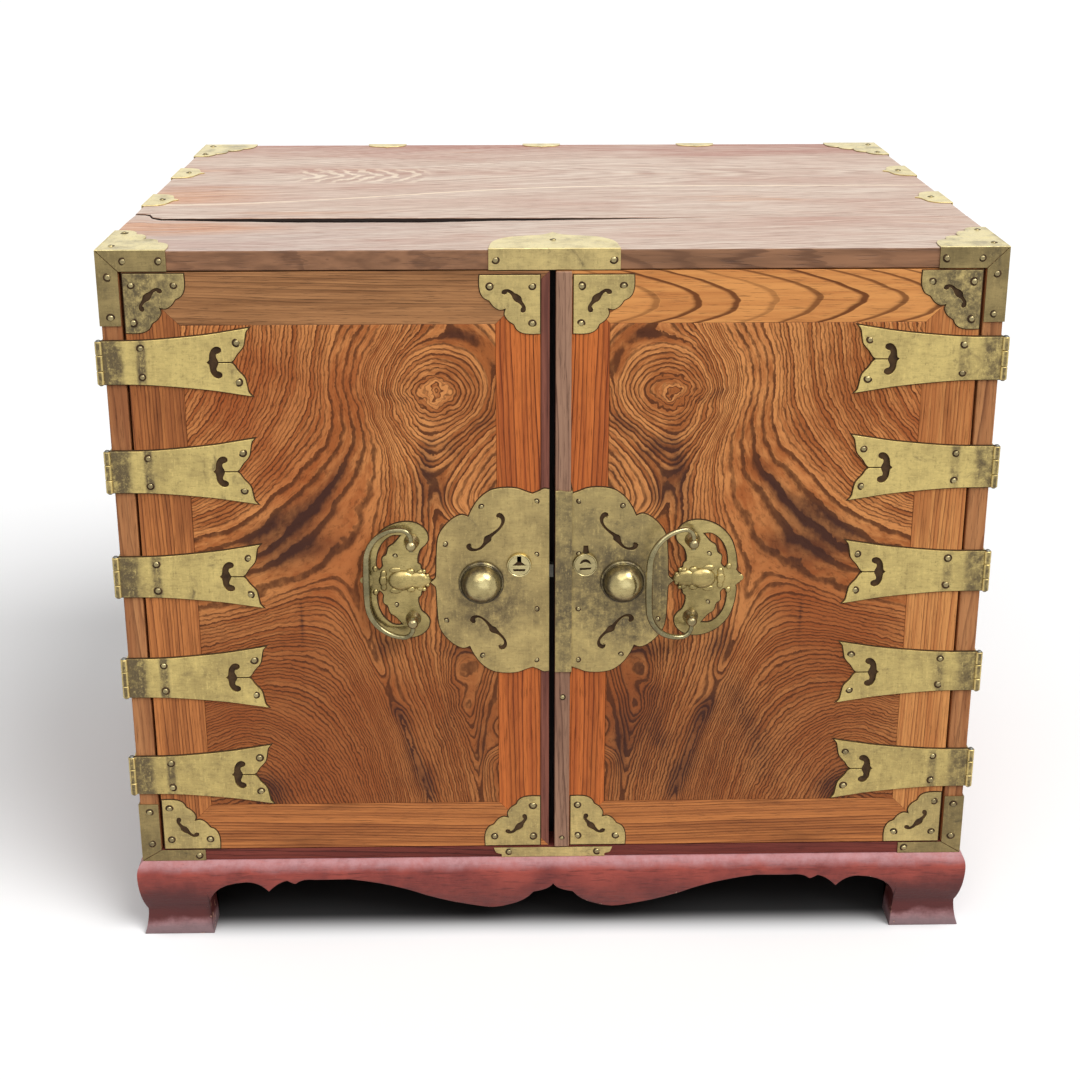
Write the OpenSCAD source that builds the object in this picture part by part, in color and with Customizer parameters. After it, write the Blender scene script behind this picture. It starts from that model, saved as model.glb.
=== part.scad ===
// Two-door brass-bound chest on a low scalloped stand, with five drawers behind its doors.
// X runs to the right, Y to the back and Z up, from the middle of the footprint on the floor.

/* [Case] */
// Width of the case across its side boards
case_w = 640; // [600:5:700]
// Depth of the case from its front edges to its back
case_d = 460; // [400:5:520]
// Height of the case above its stand
case_h = 487; // [460:1:540]
// Thickness of the side and top boards
board_t = 14.5; // [13:0.5:16]
// Thickness of the bottom board
base_t = 9.5; // [8:0.5:12]
// Thickness of the back planks
back_t = 12; // [9:1:16]
// Number of planks in the back
back_planks = 3; // [2:1:5]
// Depth of the front board of the top
top_front_d = 111; // [90:1:140]
// Opening of the shrinkage crack between the top boards, at its left end
crack_w = 2; // [1:0.5:4]
// Thickness of the divider between the two bays
divider_t = 22; // [20:1:26]
// Thickness of the inner upright beside each bay
upright_t = 11.5; // [11:0.5:16]
// Thickness of the shelves between drawers
shelf_t = 10; // [8:1:14]

/* [Stand] */
// Height of the stand
stand_h = 65; // [62:1:80]
// Thickness of the stand's apron boards
apron_t = 22; // [18:1:28]
// Outward swell of the aprons beyond the case
stand_swell = 5.5; // [3:0.5:8]
// Width of a foot along the front
foot_w = 52; // [44:1:64]
// Height of the arch beside each foot, measured down from the stand's top
arch_drop = 17.8; // [15:0.2:22]
// Drop of the two middle lobes of the front apron
lobe_drop = 46.5; // [38:0.5:52]
// Height lost at the cusp in the middle of the front apron
cusp_drop = 22; // [18:1:28]

/* [Doors] */
// Thickness of a door
door_t = 20; // [18:1:24]
// Gap between a door and the side board
door_side_gap = 2.1; // [1:0.1:3]
// Gap above and below a door
door_end_gap = 0.8; // [0.5:0.1:1.5]
// Gap between the two doors
meeting_gap = 4.4; // [4:0.1:6]
// Place of that gap's middle, left of the case's middle
meeting_shift = 1.2; // [0:0.1:2]
// How far the doors stand proud of the case's front edges
door_proud = 0.4; // [0.3:0.1:1]
// Width of a door's stiles and rails
frame_w = 38.5; // [36:0.5:44]
// Thickness of a door's panel
panel_t = 13; // [9:1:16]
// Width of the raised strip on the right door's meeting edge
strip_w = 11.3; // [9:0.1:12]
// How far that strip stands proud
strip_t = 3; // [2:0.5:4]
// Clearance between a closed door and what stops it
stop_gap = 0.6; // [0.4:0.1:1]

/* [Hinges] */
// Number of strap hinges on each door
strap_count = 5; // [3:1:6]
// Distance from a door's end to its first strap's middle line
strap_inset = 65.5; // [62:0.5:80]
// Length of a strap from the hinge axis to its tail's tips
strap_len = 104.5; // [90:0.5:120]
// Height of a strap at its root
strap_root_h = 31.8; // [28:0.2:36]
// Height of a strap across its tail's tips
strap_tail_h = 51; // [44:0.5:56]
// Thickness of straps and hinge leaves
strap_t = 1.5; // [1.2:0.1:2]
// Radius of a hinge knuckle
knuckle_r = 2.7; // [2.4:0.1:3.2]
// Radius of a hinge pin
hinge_pin_r = 1.2; // [1:0.05:1.5]
// Radial running clearance of a hinge pin or a handle's pivot
run_gap = 0.05; // [0.02:0.01:0.1]
// Length of a hinge's leaf along the case side
side_leaf_len = 26; // [20:1:40]

/* [Brass mounts] */
// Thickness of the thin brass mounts
mount_t = 1; // [0.6:0.1:1.4]
// Leg of a door's corner mount
door_mount_leg = 42; // [36:1:46]
// Length of a case corner mount's arm along the front edge
corner_arm_w = 48.5; // [40:0.5:60]
// Length of a case corner mount's arm down the front
corner_arm_h = 54; // [40:1:54]
// Length of a case corner mount along the side
corner_arm_d = 66; // [50:1:80]
// Width of the mount in the middle of the top's front edge
centre_mount_w = 93; // [70:1:110]
// Reach of that mount over the top
centre_mount_d = 54; // [40:1:60]
// Width of an edge mount on the top's sides
edge_mount_w = 48; // [36:1:60]
// Reach of an edge mount over each face
edge_mount_d = 24; // [14:1:30]
// Radius of a nail's head
nail_r = 2.3; // [1.6:0.1:2.8]
// Height of a nail's head
nail_h = 1.2; // [0.8:0.1:1.6]

/* [Locks] */
// Height of the lock plates' middle above the case's bottom
lock_z = 235; // [200:1:270]
// Thickness of a lock plate
lock_plate_t = 1.2; // [1:0.1:1.6]
// Half height of a lock plate
lock_plate_half = 74.5; // [70:0.5:80]
// Distance of a knob from its door's meeting edge
knob_in = 50.5; // [48:0.5:54]
// Radius of a knob's flange
knob_r = 16.5; // [14:0.5:18]
// Height of a knob
knob_h = 15; // [12:0.5:18]
// Distance of a lock plug from its door's meeting edge
plug_in = 22.3; // [22:0.1:23]
// Height of a lock plug above the lock plates' middle
plug_up = 14; // [13:0.5:18]
// Radius of a lock plug's face
plug_r = 9.3; // [8.4:0.1:10]
// Radius of a lock plug's shaft
plug_shaft_r = 5; // [4:0.1:6]
// Height of the lock bolt
bolt_h = 10; // [9:0.5:11]
// Thickness of the lock bolt
bolt_t = 6; // [5:0.5:7]
// How far the withdrawn bolt's tip shows in the gap between the doors
bolt_peek = 3.2; // [2:0.1:3.3]
// Length of the lock bolt
bolt_len = 34; // [33:0.5:36]
// Radius at which the crank pin drives the bolt
crank_r = 8; // [7.6:0.1:8.4]
// Length of the right lock's cam from its axis
cam_len = 20; // [18:0.5:21]
// Thickness of the right lock's cam
cam_t = 2.5; // [2:0.1:3]

/* [Handles] */
// Distance of a handle's pivot axis from its door's meeting edge
bail_in = 101.5; // [101.5:0.5:110]
// Height of the handles' middle above the case's bottom
bail_z = 237; // [215:1:260]
// Distance between a handle's two posts
post_gap = 62; // [56:1:66]
// Distance of a handle's pivot axis from the door's face
pivot_out = 9.5; // [9:0.5:11]
// Reach of a handle from its pivot axis
bail_reach = 34; // [32:0.5:36]
// Radius of a handle's round bar
bail_r = 2.3; // [2:0.1:2.6]
// Radius of a handle's bar in the middle of its grip
grip_r = 3.3; // [2.6:0.1:3.4]
// Radius of a handle's pivot pins
bail_pin_r = 1.8; // [1.4:0.1:1.9]
// Radius of a post's round head
post_r = 4.2; // [4:0.1:4.4]
// Angle by which the right handle stands off the door
right_lift = 16; // [8:1:30]

/* [Drawers] */
// Recess of the drawer fronts behind the closed doors
drawer_recess = 14; // [14:1:20]
// Height of the left bay's top opening
left_top_h = 118; // [90:1:140]
// Height of the left bay's middle opening
left_mid_h = 140; // [100:1:150]
// Height of the right bay's top opening
right_top_h = 186; // [120:1:240]
// Thickness of a drawer's front
drawer_front_t = 14; // [12:1:18]
// Thickness of a drawer's sides and back
drawer_side_t = 9; // [6:1:12]
// Thickness of a drawer's bottom
drawer_bottom_t = 5; // [4:1:7]
// Gap round a drawer in its opening
drawer_gap = 0.6; // [0.4:0.1:1]
// Gap between a drawer and the back planks
drawer_back_gap = 4; // [2:1:30]
// Radius of a drawer's knob
drawer_knob_r = 8; // [6:0.5:10]
// Height of a drawer's knob
drawer_knob_h = 11; // [8:0.5:12]

/* [Hidden] */
$fn = 48;
elm = "#a5562c";
figured_elm = "#9a4a2a";
worn_elm = "#b49383";
inner_pine = "#b98f60";
red_lacquer = "#7a3430";
brass = "#a8934e";
dark_brass = "#6f643d";
steel = "#5a5a58";

gap = 0.3;
glue = 0.1;
half_w = case_w / 2;
case_z = stand_h;
top_z = case_z + case_h;
front_reach = door_proud + pivot_out + bail_reach * sin(right_lift) + grip_r;
front_y = (front_reach - stand_swell - case_d) / 2;
back_y = front_y + case_d;
inner_w = half_w - board_t;
inner_z0 = case_z + base_t;
inner_z1 = top_z - board_t;
inner_back = back_y - back_t;

door_y = front_y - door_proud;
door_z = inner_z0 + door_end_gap;
door_h = inner_z1 - inner_z0 - 2 * door_end_gap;
door_outer = inner_w - door_side_gap;
door_back = door_y + door_t;
stop_y = door_back + stop_gap;
drawer_y = door_back + drawer_recess;

hinge_x = half_w + knuckle_r + 0.2;
hinge_y = door_y - strap_t / 2;
strap_pitch = (door_h - 2 * strap_inset) / (strap_count - 1);
knuckle_h = strap_root_h * 0.38;

lock_h = case_z + lock_z;
plug_z = lock_h + plug_up;
bail_h = case_z + bail_z;
left_lean = asin((pivot_out - mount_t - grip_r - 0.4) / bail_reach);
crank_travel = crank_r * sqrt(2);
crank_y = door_y + 4.3;
crank_t = 2.4;
crank_pin_r = 1.5;
crank_disc_r = crank_r + crank_pin_r + 0.4;
bolt_y = crank_y + crank_t + gap;
bolt_z = plug_z - crank_r - crank_pin_r - 4.2;
bolt_gap = 0.25;
cam_y = stop_y + 4.7;
cam_w = 8;
slot_gap = 0.5;
cam_sweep = sqrt(cam_len * cam_len + cam_w * cam_w / 4) + slot_gap;
strap_half = strap_root_h / 2;
tail_half = strap_tail_h / 2;

bay_w = inner_w - upright_t - divider_t / 2;
left_low_h = inner_z1 - inner_z0 - left_top_h - left_mid_h - 2 * shelf_t;
right_low_h = inner_z1 - inner_z0 - right_top_h - shelf_t;
left_low_z = inner_z0;
left_mid_z = left_low_z + left_low_h + shelf_t;
left_top_z = left_mid_z + left_mid_h + shelf_t;
right_low_z = inner_z0;
right_top_z = right_low_z + right_low_h + shelf_t;
drawer_len = inner_back - drawer_back_gap - drawer_y;

// Points of a quadratic curve from a to c that leans towards b, without its first point
function bend(a, b, c, n = 6) =
    [for (i = [1:n]) let (t = i / n) a * (1 - t) * (1 - t) + b * 2 * t * (1 - t) + c * t * t];
function last(p) = p[len(p) - 1];
// A half outline joined to its mirror image across the vertical axis or the horizontal one
function both_x(p) = concat(p, [for (i = [len(p) - 1:-1:0]) [-p[i].x, p[i].y]]);
function both_y(p) = concat(p, [for (i = [len(p) - 1:-1:0]) [p[i].x, -p[i].y]]);
// A half outline joined to its mirror image across the diagonal
function both_diagonal(p) = concat(p, [for (i = [len(p) - 1:-1:0]) [p[i].y, p[i].x]]);
// The sideways place of a door's meeting edge, measured from the middle towards that door
function edge_in(side) = meeting_gap / 2 + side * -meeting_shift;
function door_w(side) = door_outer - edge_in(side);
function strap_z(i) = door_z + strap_inset + i * strap_pitch;

// Draws for the left side, and for the right one as its mirror image
module on_side(side) {
    mirror([side > 0 ? 1 : 0, 0, 0]) children();
}

// A flat shape of the front view, made a plate whose back is at y
module front_plate(y, t) {
    translate([0, y, 0]) rotate([90, 0, 0]) linear_extrude(t) children();
}

// A flat shape in y and z, made a plate on the left side's outer face
module side_plate(x, t) {
    translate([x - t, 0, 0]) rotate([90, 0, 90]) linear_extrude(t) children();
}

// Plain rectangular board between two corners
module board(low, high) {
    translate(low) cube(high - low);
}

// Domed nail head, standing on the z = 0 plane
module nail_head() {
    rotate_extrude($fn = 24)
        polygon([[0, 0], [nail_r, 0], [nail_r * 0.86, nail_h * 0.55], [nail_r * 0.5, nail_h * 0.9], [0, nail_h]]);
}

module front_nail(x, y, z) {
    translate([x, y, z]) rotate([90, 0, 0]) nail_head();
}

// Case boards

module side_board(side) {
    color(elm) on_side(side)
        board([-half_w, front_y, inner_z0], [-inner_w, back_y, inner_z1]);
}
module side_left() { side_board(-1); }
module side_right() { side_board(1); }

module top_front_board() {
    color(worn_elm) board([-half_w, front_y, inner_z1], [half_w, front_y + top_front_d, top_z]);
}

module top_rear_board() {
    joint_y = front_y + top_front_d;
    color(worn_elm) translate([0, 0, inner_z1]) linear_extrude(board_t)
        polygon([[-half_w, joint_y + crack_w], [case_w / 6, joint_y + glue], [half_w, joint_y + glue],
            [half_w, back_y], [-half_w, back_y]]);
}

module bottom_board() {
    color(elm) board([-half_w, front_y, case_z], [half_w, back_y, inner_z0]);
}

module back_planks_set() {
    plank_h = (inner_z1 - inner_z0) / back_planks;
    color(inner_pine) for (i = [0:back_planks - 1])
        board([-inner_w, inner_back, inner_z0 + i * plank_h],
            [inner_w, back_y, inner_z0 + (i + 1) * plank_h - (i < back_planks - 1 ? gap : 0)]);
}

module centre_divider() {
    color(inner_pine) difference() {
        board([-divider_t / 2, stop_y, inner_z0], [divider_t / 2, inner_back, inner_z1]);
        board([edge_in(1) + plug_in - cam_sweep, cam_y - slot_gap, plug_z - cam_len],
            [divider_t / 2 + 1, cam_y + cam_t + slot_gap, plug_z + cam_w / 2 + slot_gap]);
    }
}

module inner_uprights() {
    color(inner_pine) for (side = [-1, 1]) on_side(side)
        board([-inner_w, stop_y, inner_z0], [-inner_w + upright_t, inner_back, inner_z1]);
}

module shelf(side, z) {
    on_side(side)
        board([-inner_w + upright_t, drawer_y, z - shelf_t], [-divider_t / 2, inner_back, z]);
}

module drawer_shelves() {
    color(inner_pine) {
        shelf(-1, left_mid_z);
        shelf(-1, left_top_z);
        shelf(1, right_top_z);
    }
}

// Stand: each apron is its arched outline, its swelling section and its mitred plan in common

// Section of an apron, outwards in x and up in y
function apron_section() = concat(
    [[-apron_t, 0], [-apron_t, stand_h], [0.7, stand_h]],
    bend([0.7, stand_h], [stand_swell, stand_h - 2], [stand_swell, stand_h - 13]),
    bend([stand_swell, stand_h - 13], [stand_swell - 0.5, stand_h - 32], [-0.5, stand_h - 44]),
    bend([-0.5, stand_h - 44], [0.2, stand_h * 0.12], [stand_swell * 0.6, 0]));

// Lower edge from a foot's inside corner over the arch to the small scallops
function arch_edge(x) = let (z = stand_h, a = arch_drop) concat(
    [[x, 0], [x + 2, z - 38]],
    bend([x + 2, z - 38], [x - 1, z - a - 1], [x - 28, z - a]),
    bend([x - 28, z - a], [x - 38, z - a], [x - 45, z - a - 9.2], 4),
    bend([x - 45, z - a - 9.2], [x - 53, z - a], [x - 60, z - a + 1], 4));

function front_edge() = let (x = half_w + 0.5 - foot_w, z = stand_h, a = arch_drop) concat(
    arch_edge(x),
    bend([x - 60, z - a + 1], [x - 66, z - a - 3], [x - 67, z - a - 1.5], 2),
    bend([x - 67, z - a - 1.5], [x - 72, z - a + 3], [x - 82, z - a + 1.5], 4),
    [[x - 109, z - a + 1.8]],
    bend([x - 109, z - a + 1.8], [x - 145, z - a - 3], [x - 168, z - a - 14.5]),
    bend([x - 168, z - a - 14.5], [x - 204, z - lobe_drop], [47, z - lobe_drop]),
    bend([47, z - lobe_drop], [26, z - lobe_drop + 1], [15.4, z - cusp_drop - 8]),
    bend([15.4, z - cusp_drop - 8], [3, z - cusp_drop - 6], [0, z - cusp_drop], 4));

function plain_edge(half) = arch_edge(half + 0.5 - foot_w);

module apron(half, depth_half, edge) {
    reach = stand_swell + 1;
    intersection() {
        rotate([90, 0, 0]) translate([0, 0, depth_half - apron_t - 1]) linear_extrude(apron_t + reach + 1)
            difference() {
                translate([-half - reach, 0]) square([2 * (half + reach), stand_h]);
                polygon(both_x(concat([[edge[0].x, -1]], edge)));
            }
        translate([-half - reach, -depth_half, 0]) rotate([90, 0, 90]) linear_extrude(2 * (half + reach))
            polygon([for (p = apron_section()) [-p.x, p.y]]);
        translate([0, -depth_half, -1]) linear_extrude(stand_h + 2)
            polygon([[-half - reach, -reach], [half + reach, -reach],
                [half - apron_t - 1, apron_t + 1], [-half + apron_t + 1, apron_t + 1]]);
    }
}

module stand_board(turn, half, depth_half, edge) {
    color(red_lacquer) translate([0, front_y + case_d / 2, 0]) rotate([0, 0, turn])
        apron(half, depth_half, edge);
}
module stand_front() { stand_board(0, half_w, case_d / 2, front_edge()); }
module stand_rear() { stand_board(180, half_w, case_d / 2, plain_edge(half_w)); }
module stand_left() { stand_board(-90, case_d / 2, half_w, plain_edge(case_d / 2)); }
module stand_right() { stand_board(90, case_d / 2, half_w, plain_edge(case_d / 2)); }

// Brass mounts

// Cloud-edged quarter shape with its square corner at the origin
function cloud_corner(a, b) = let (k = [
    [0, 0], [1, 0], [1, 0.14], each bend([1, 0.14], [0.99, 0.32], [0.80, 0.36], 4),
    each bend([0.80, 0.36], [0.74, 0.56], [0.53, 0.53], 4)])
    [for (p = both_diagonal(k)) [p.x * a, p.y * b]];

// Half oval with a point, standing on the x axis
function half_oval(w, d) = both_x(concat([[w / 2, 0]],
    bend([w / 2, 0], [w / 2 * 0.98, d * 0.62], [w * 0.22, d * 0.78], 5),
    bend([w * 0.22, d * 0.78], [w * 0.07, d * 0.82], [0, d], 4)));

// The slanting pierced figure of a corner mount
module scroll_piercing(size) {
    for (s = [-1, 1]) translate([s, -s] * size * 0.135) circle(size * 0.05, $fn = 16);
    rotate(-45) square([size * 0.36, size * 0.05], center = true);
    square(size * 0.12, center = true);
}

module corner_front_plate(arm_w, arm_h, edge_w, edge_h) {
    square([arm_w, edge_h]);
    square([edge_w, arm_h]);
}

module top_corner(y, toward) {
    // toward is 1 for a front corner and -1 for a rear one
    translate([-half_w, y, 0]) mirror([0, toward > 0 ? 0 : 1, 0]) {
        translate([-mount_t, 0, top_z + mount_t]) mirror([0, 0, 1])
            front_plate(0, mount_t) corner_front_plate(corner_arm_w + mount_t,
                corner_arm_h + mount_t, board_t + mount_t, board_t + mount_t);
        translate([0, 0, top_z]) linear_extrude(mount_t)
            polygon(cloud_corner(corner_arm_w, corner_arm_d));
        translate([0, 0, top_z]) mirror([0, 0, 1])
            side_plate(0, mount_t) polygon(cloud_corner(corner_arm_d, corner_arm_h));
        translate([-mount_t, -mount_t, top_z]) cube([mount_t, corner_arm_d + mount_t, mount_t]);
    }
}

module top_corner_mounts() {
    color(brass) for (side = [-1, 1]) on_side(side) {
        top_corner(front_y, 1);
        top_corner(back_y, -1);
    }
}

module bottom_corner(y, toward) {
    translate([-half_w, y, case_z]) mirror([0, toward > 0 ? 0 : 1, 0]) {
        translate([-mount_t, 0, 0]) front_plate(0, mount_t)
            corner_front_plate(corner_arm_w + mount_t, corner_arm_h - 4, board_t + mount_t, base_t);
        side_plate(0, mount_t) polygon(cloud_corner(corner_arm_d, corner_arm_h - 4));
    }
}

module bottom_corner_mounts() {
    color(brass) for (side = [-1, 1]) on_side(side) {
        bottom_corner(front_y, 1);
        bottom_corner(back_y, -1);
    }
}

// Mount folded over an edge of the top, seen from the front with its middle at the origin
module folded_mount(w, over, down) {
    linear_extrude(mount_t) polygon(half_oval(w, over));
    translate([0, 0, -down]) front_plate(0, mount_t)
        translate([-w / 2, 0]) square([w, down + mount_t]);
}

module edge_mounts() {
    color(brass) {
        translate([0, front_y, top_z]) folded_mount(centre_mount_w, centre_mount_d, board_t);
        for (x = [-case_w * 0.23, 0, case_w * 0.23])
            translate([x, back_y, top_z]) rotate([0, 0, 180])
                folded_mount(edge_mount_w * 0.75, edge_mount_d * 0.75, board_t);
        for (side = [-1, 1], f = [0.4, 0.667]) on_side(side)
            translate([-half_w, front_y + f * case_d, top_z]) rotate([0, 0, -90])
                folded_mount(edge_mount_w, edge_mount_d, board_t);
        translate([0, front_y, case_z]) front_plate(0, mount_t)
            polygon([[-centre_mount_w / 2 + 6, 0], [centre_mount_w / 2 - 6, 0],
                [centre_mount_w / 2, base_t - 1], [-centre_mount_w / 2, base_t - 1]]);
    }
}

module case_nails() {
    top_mid = top_z - board_t / 2;
    base_mid = case_z + base_t / 2;
    edge_mid = half_w - board_t / 2;
    color(dark_brass) {
        for (side = [-1, 1]) on_side(side) {
            for (x = [half_w - corner_arm_w + 5, half_w - board_t - 4])
                front_nail(-x, front_y - mount_t, top_mid);
            for (z = [top_z - board_t - 4, top_z - corner_arm_h + 6])
                front_nail(-edge_mid, front_y - mount_t, z);
            for (z = [case_z + corner_arm_h - 11, case_z + base_t + 6])
                front_nail(-edge_mid, front_y - mount_t, z);
            front_nail(-half_w + corner_arm_w - 5, front_y - mount_t, base_mid);
            for (y = [front_y + 12, front_y + corner_arm_d - 10, back_y - corner_arm_d + 10, back_y - 12])
                translate([-half_w + 8, y, top_z + mount_t]) nail_head();
            for (f = [0.4, 0.667])
                translate([-half_w + edge_mount_d * 0.45, front_y + f * case_d, top_z + mount_t]) nail_head();
            for (i = [0:strap_count - 1], dz = [-1, 1])
                translate([-half_w - strap_t, front_y + side_leaf_len - 6, strap_z(i) + dz * strap_root_h * 0.3])
                    rotate([0, -90, 0]) nail_head();
        }
        for (s = [-1, 1]) {
            front_nail(s * (centre_mount_w / 2 - 5), front_y - mount_t, top_mid);
            front_nail(s * (centre_mount_w / 2 - 12), front_y - mount_t, base_mid);
        }
        translate([0, front_y + centre_mount_d * 0.5, top_z + mount_t]) nail_head();
    }
}

// Hinges: two outer knuckles on the side leaf, one middle knuckle on the strap

module outer_knuckle_zones(r) {
    h = (strap_root_h - knuckle_h) / 2;
    for (z = [-strap_half, knuckle_h / 2]) translate([0, 0, z]) cylinder(r = r, h = h);
}

module pin_bore() {
    translate([0, 0, -strap_half - 1]) cylinder(r = hinge_pin_r + run_gap, h = strap_root_h + 2);
}

module side_leaf() {
    // Drawn round the hinge axis; the leaf lies on the case side behind it
    difference() {
        union() {
            difference() {
                translate([hinge_x - half_w - strap_t, front_y - hinge_y, -strap_half])
                    cube([strap_t, side_leaf_len, strap_root_h]);
                translate([0, 0, -knuckle_h / 2 - gap])
                    cylinder(r = knuckle_r + gap, h = knuckle_h + 2 * gap);
            }
            outer_knuckle_zones(knuckle_r);
        }
        pin_bore();
    }
}

module hinge_side_leaves() {
    color(brass) for (side = [-1, 1], i = [0:strap_count - 1]) on_side(side)
        translate([-hinge_x, hinge_y, strap_z(i)]) side_leaf();
}

module hinge_pins() {
    color(steel) for (side = [-1, 1], i = [0:strap_count - 1]) on_side(side)
        translate([-hinge_x, hinge_y, strap_z(i)]) {
            translate([0, 0, -strap_half]) cylinder(r = hinge_pin_r, h = strap_root_h);
            for (s = [0, 1]) mirror([0, 0, s])
                translate([0, 0, strap_half]) cylinder(r = hinge_pin_r * 1.7, h = 0.8);
        }
}

// Half outline of a strap: flared edge, scooped fishtail and round lobe beside the notch
function strap_edge() = let (l = strap_len) concat(
    [[0, strap_half]],
    bend([l * 0.24, strap_half], [l * 0.62, strap_half + 0.6], [l, tail_half]),
    bend([l, tail_half], [l - 3.2, tail_half * 0.75], [l - 2.7, tail_half * 0.46], 4),
    bend([l - 2.7, tail_half * 0.46], [l - 4, tail_half * 0.28], [l - 7.5, tail_half * 0.24], 4),
    [[l - 10, 0]]);

// Pierced crescent with a slit to the notch
module strap_piercing() {
    x = strap_len - 24;
    difference() {
        translate([x + 7.5, 0]) circle(11.4);
        translate([x + 10.5, 0]) circle(10.6);
        translate([x + 6.8, -15]) square([20, 30]);
    }
    for (s = [-1, 1]) translate([x + 5.2, s * 9.4]) circle(1.9, $fn = 20);
    translate([x - 2, 0]) polygon(both_y([[-4.2, 0], [1, 1.6], [3, 4]]));
    translate([x, -0.4]) square([strap_len - 9 - x, 0.8]);
}

module strap() {
    difference() {
        union() {
            difference() {
                front_plate(strap_t / 2, strap_t) difference() {
                    polygon(both_y(strap_edge()));
                    strap_piercing();
                }
                for (s = [0, 1]) mirror([0, 0, s])
                    translate([0, 0, knuckle_h / 2 - gap])
                        cylinder(r = knuckle_r + gap, h = strap_root_h);
            }
            translate([0, 0, -knuckle_h / 2 + gap]) cylinder(r = knuckle_r, h = knuckle_h - 2 * gap);
        }
        pin_bore();
    }
}

module door_straps(side) {
    color(brass) on_side(side) for (i = [0:strap_count - 1])
        translate([-hinge_x, hinge_y, strap_z(i)]) strap();
}
module left_door_straps() { door_straps(-1); }
module right_door_straps() { door_straps(1); }

// Doors

module door_panel(side) {
    color(figured_elm) on_side(side) front_plate(door_y + panel_t, panel_t)
        translate([-door_outer + frame_w + glue, door_z + frame_w + glue])
            square([door_w(side) - 2 * (frame_w + glue), door_h - 2 * (frame_w + glue)]);
}
module left_door_panel() { door_panel(-1); }
module right_door_panel() { door_panel(1); }

// One member of the mitred frame, with its ends cut on the diagonal
module frame_member(side, points) {
    front_plate(door_back, door_t) polygon(points);
}

module lock_mortise(side) {
    edge = edge_in(side);
    left = side < 0;
    depth = left ? bolt_len - bolt_peek + 0.6 : bolt_peek + crank_travel - meeting_gap + 1.5;
    clear = left ? bolt_gap : slot_gap;
    board([-edge - depth, bolt_y - clear, bolt_z - clear],
        [-edge + 1, bolt_y + bolt_t + clear, bolt_z + bolt_h + clear]);
    translate([-edge - plug_in, door_back + 1, plug_z]) rotate([90, 0, 0])
        cylinder(r = plug_shaft_r + run_gap, h = door_t + 2);
    if (left) translate([-edge - plug_in, door_back + 1, plug_z]) rotate([90, 0, 0])
        cylinder(r = crank_disc_r + slot_gap, h = door_back + 1 - crank_y + gap);
}

module door_frame(side) {
    x0 = -door_outer;
    x1 = -edge_in(side);
    z0 = door_z;
    z1 = door_z + door_h;
    f = frame_w;
    color(elm) on_side(side) {
        frame_member(side, [[x0, z0], [x0 + f, z0 + f], [x0 + f, z1 - f], [x0, z1]]);
        frame_member(side, [[x0, z0], [x1, z0], [x1 - f, z0 + f], [x0 + f, z0 + f]]);
        frame_member(side, [[x0, z1], [x1, z1], [x1 - f, z1 - f], [x0 + f, z1 - f]]);
        difference() {
            frame_member(side, [[x1, z0], [x1 - f, z0 + f], [x1 - f, z1 - f], [x1, z1]]);
            lock_mortise(side);
        }
    }
}
module left_door_frame() { door_frame(-1); }
module right_door_frame() { door_frame(1); }

module right_meeting_strip() {
    color(worn_elm) board([edge_in(1), door_y - strip_t, door_z], [edge_in(1) + strip_w, door_y, door_z + door_h]);
}

module corner_mount_shape() {
    difference() {
        polygon(cloud_corner(door_mount_leg, door_mount_leg));
        translate([door_mount_leg, door_mount_leg] * 0.39) scroll_piercing(door_mount_leg);
    }
}

// Places the four mounts of a door, each with its square corner in the door's corner
module at_door_corners(side) {
    inner_inset = side < 0 ? 6.5 : strip_w + 0.8;
    x0 = -door_outer + 0.5;
    x1 = -edge_in(side) - inner_inset;
    z0 = door_z + 0.5;
    z1 = door_z + door_h;
    translate([x0, z0]) children();
    translate([x1, z0]) mirror([1, 0]) children();
    translate([x0, z1 - 0.5]) mirror([0, 1]) children();
    translate([x1, z1 - 2.5]) mirror([1, 0]) mirror([0, 1]) children();
}

module door_corner_mounts(side) {
    color(brass) on_side(side) front_plate(door_y, mount_t) at_door_corners(side) corner_mount_shape();
}
module left_door_corner_mounts() { door_corner_mounts(-1); }
module right_door_corner_mounts() { door_corner_mounts(1); }

// Lock plates, drawn from the meeting edge outwards along -x

function lock_edge() = let (h = lock_plate_half) concat(
    [[0, h]],
    bend([0, h], [-7, h + 1], [-12.5, h - 4.8], 4),
    bend([-12.5, h - 4.8], [-22, h - 2], [-33.5, h], 4),
    bend([-33.5, h], [-55, h - 1], [-59.5, h - 22.5]),
    bend([-59.5, h - 22.5], [-77, h - 17], [-83, h - 44]),
    [[-84, 5.5]],
    bend([-84, 5.5], [-85, 1.5], [-88.4, 0], 3));

module lock_piercing() {
    translate([-46, 40]) {
        translate([9.5, 10.5]) circle(2.3, $fn = 20);
        translate([-10.5, -12]) circle(2.3, $fn = 20);
        polygon([[11.5, 10], [9, 4], [2.5, -0.5], [0, -4.5], [-7, -12.5], [-11, -13.5], [-10, -11],
            [-5, -7.5], [-3, -1.5], [0.5, 2.5], [7, 6.5], [8.5, 9.5]]);
    }
}

module lock_plate_shape() {
    difference() {
        polygon(both_y(lock_edge()));
        lock_piercing();
        mirror([0, 1]) lock_piercing();
        translate([-plug_in, plug_up]) circle(plug_shaft_r + gap);
    }
}

module left_lock_plate() {
    color(brass) front_plate(door_y, lock_plate_t)
        translate([-edge_in(-1), lock_h]) lock_plate_shape();
}

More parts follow.
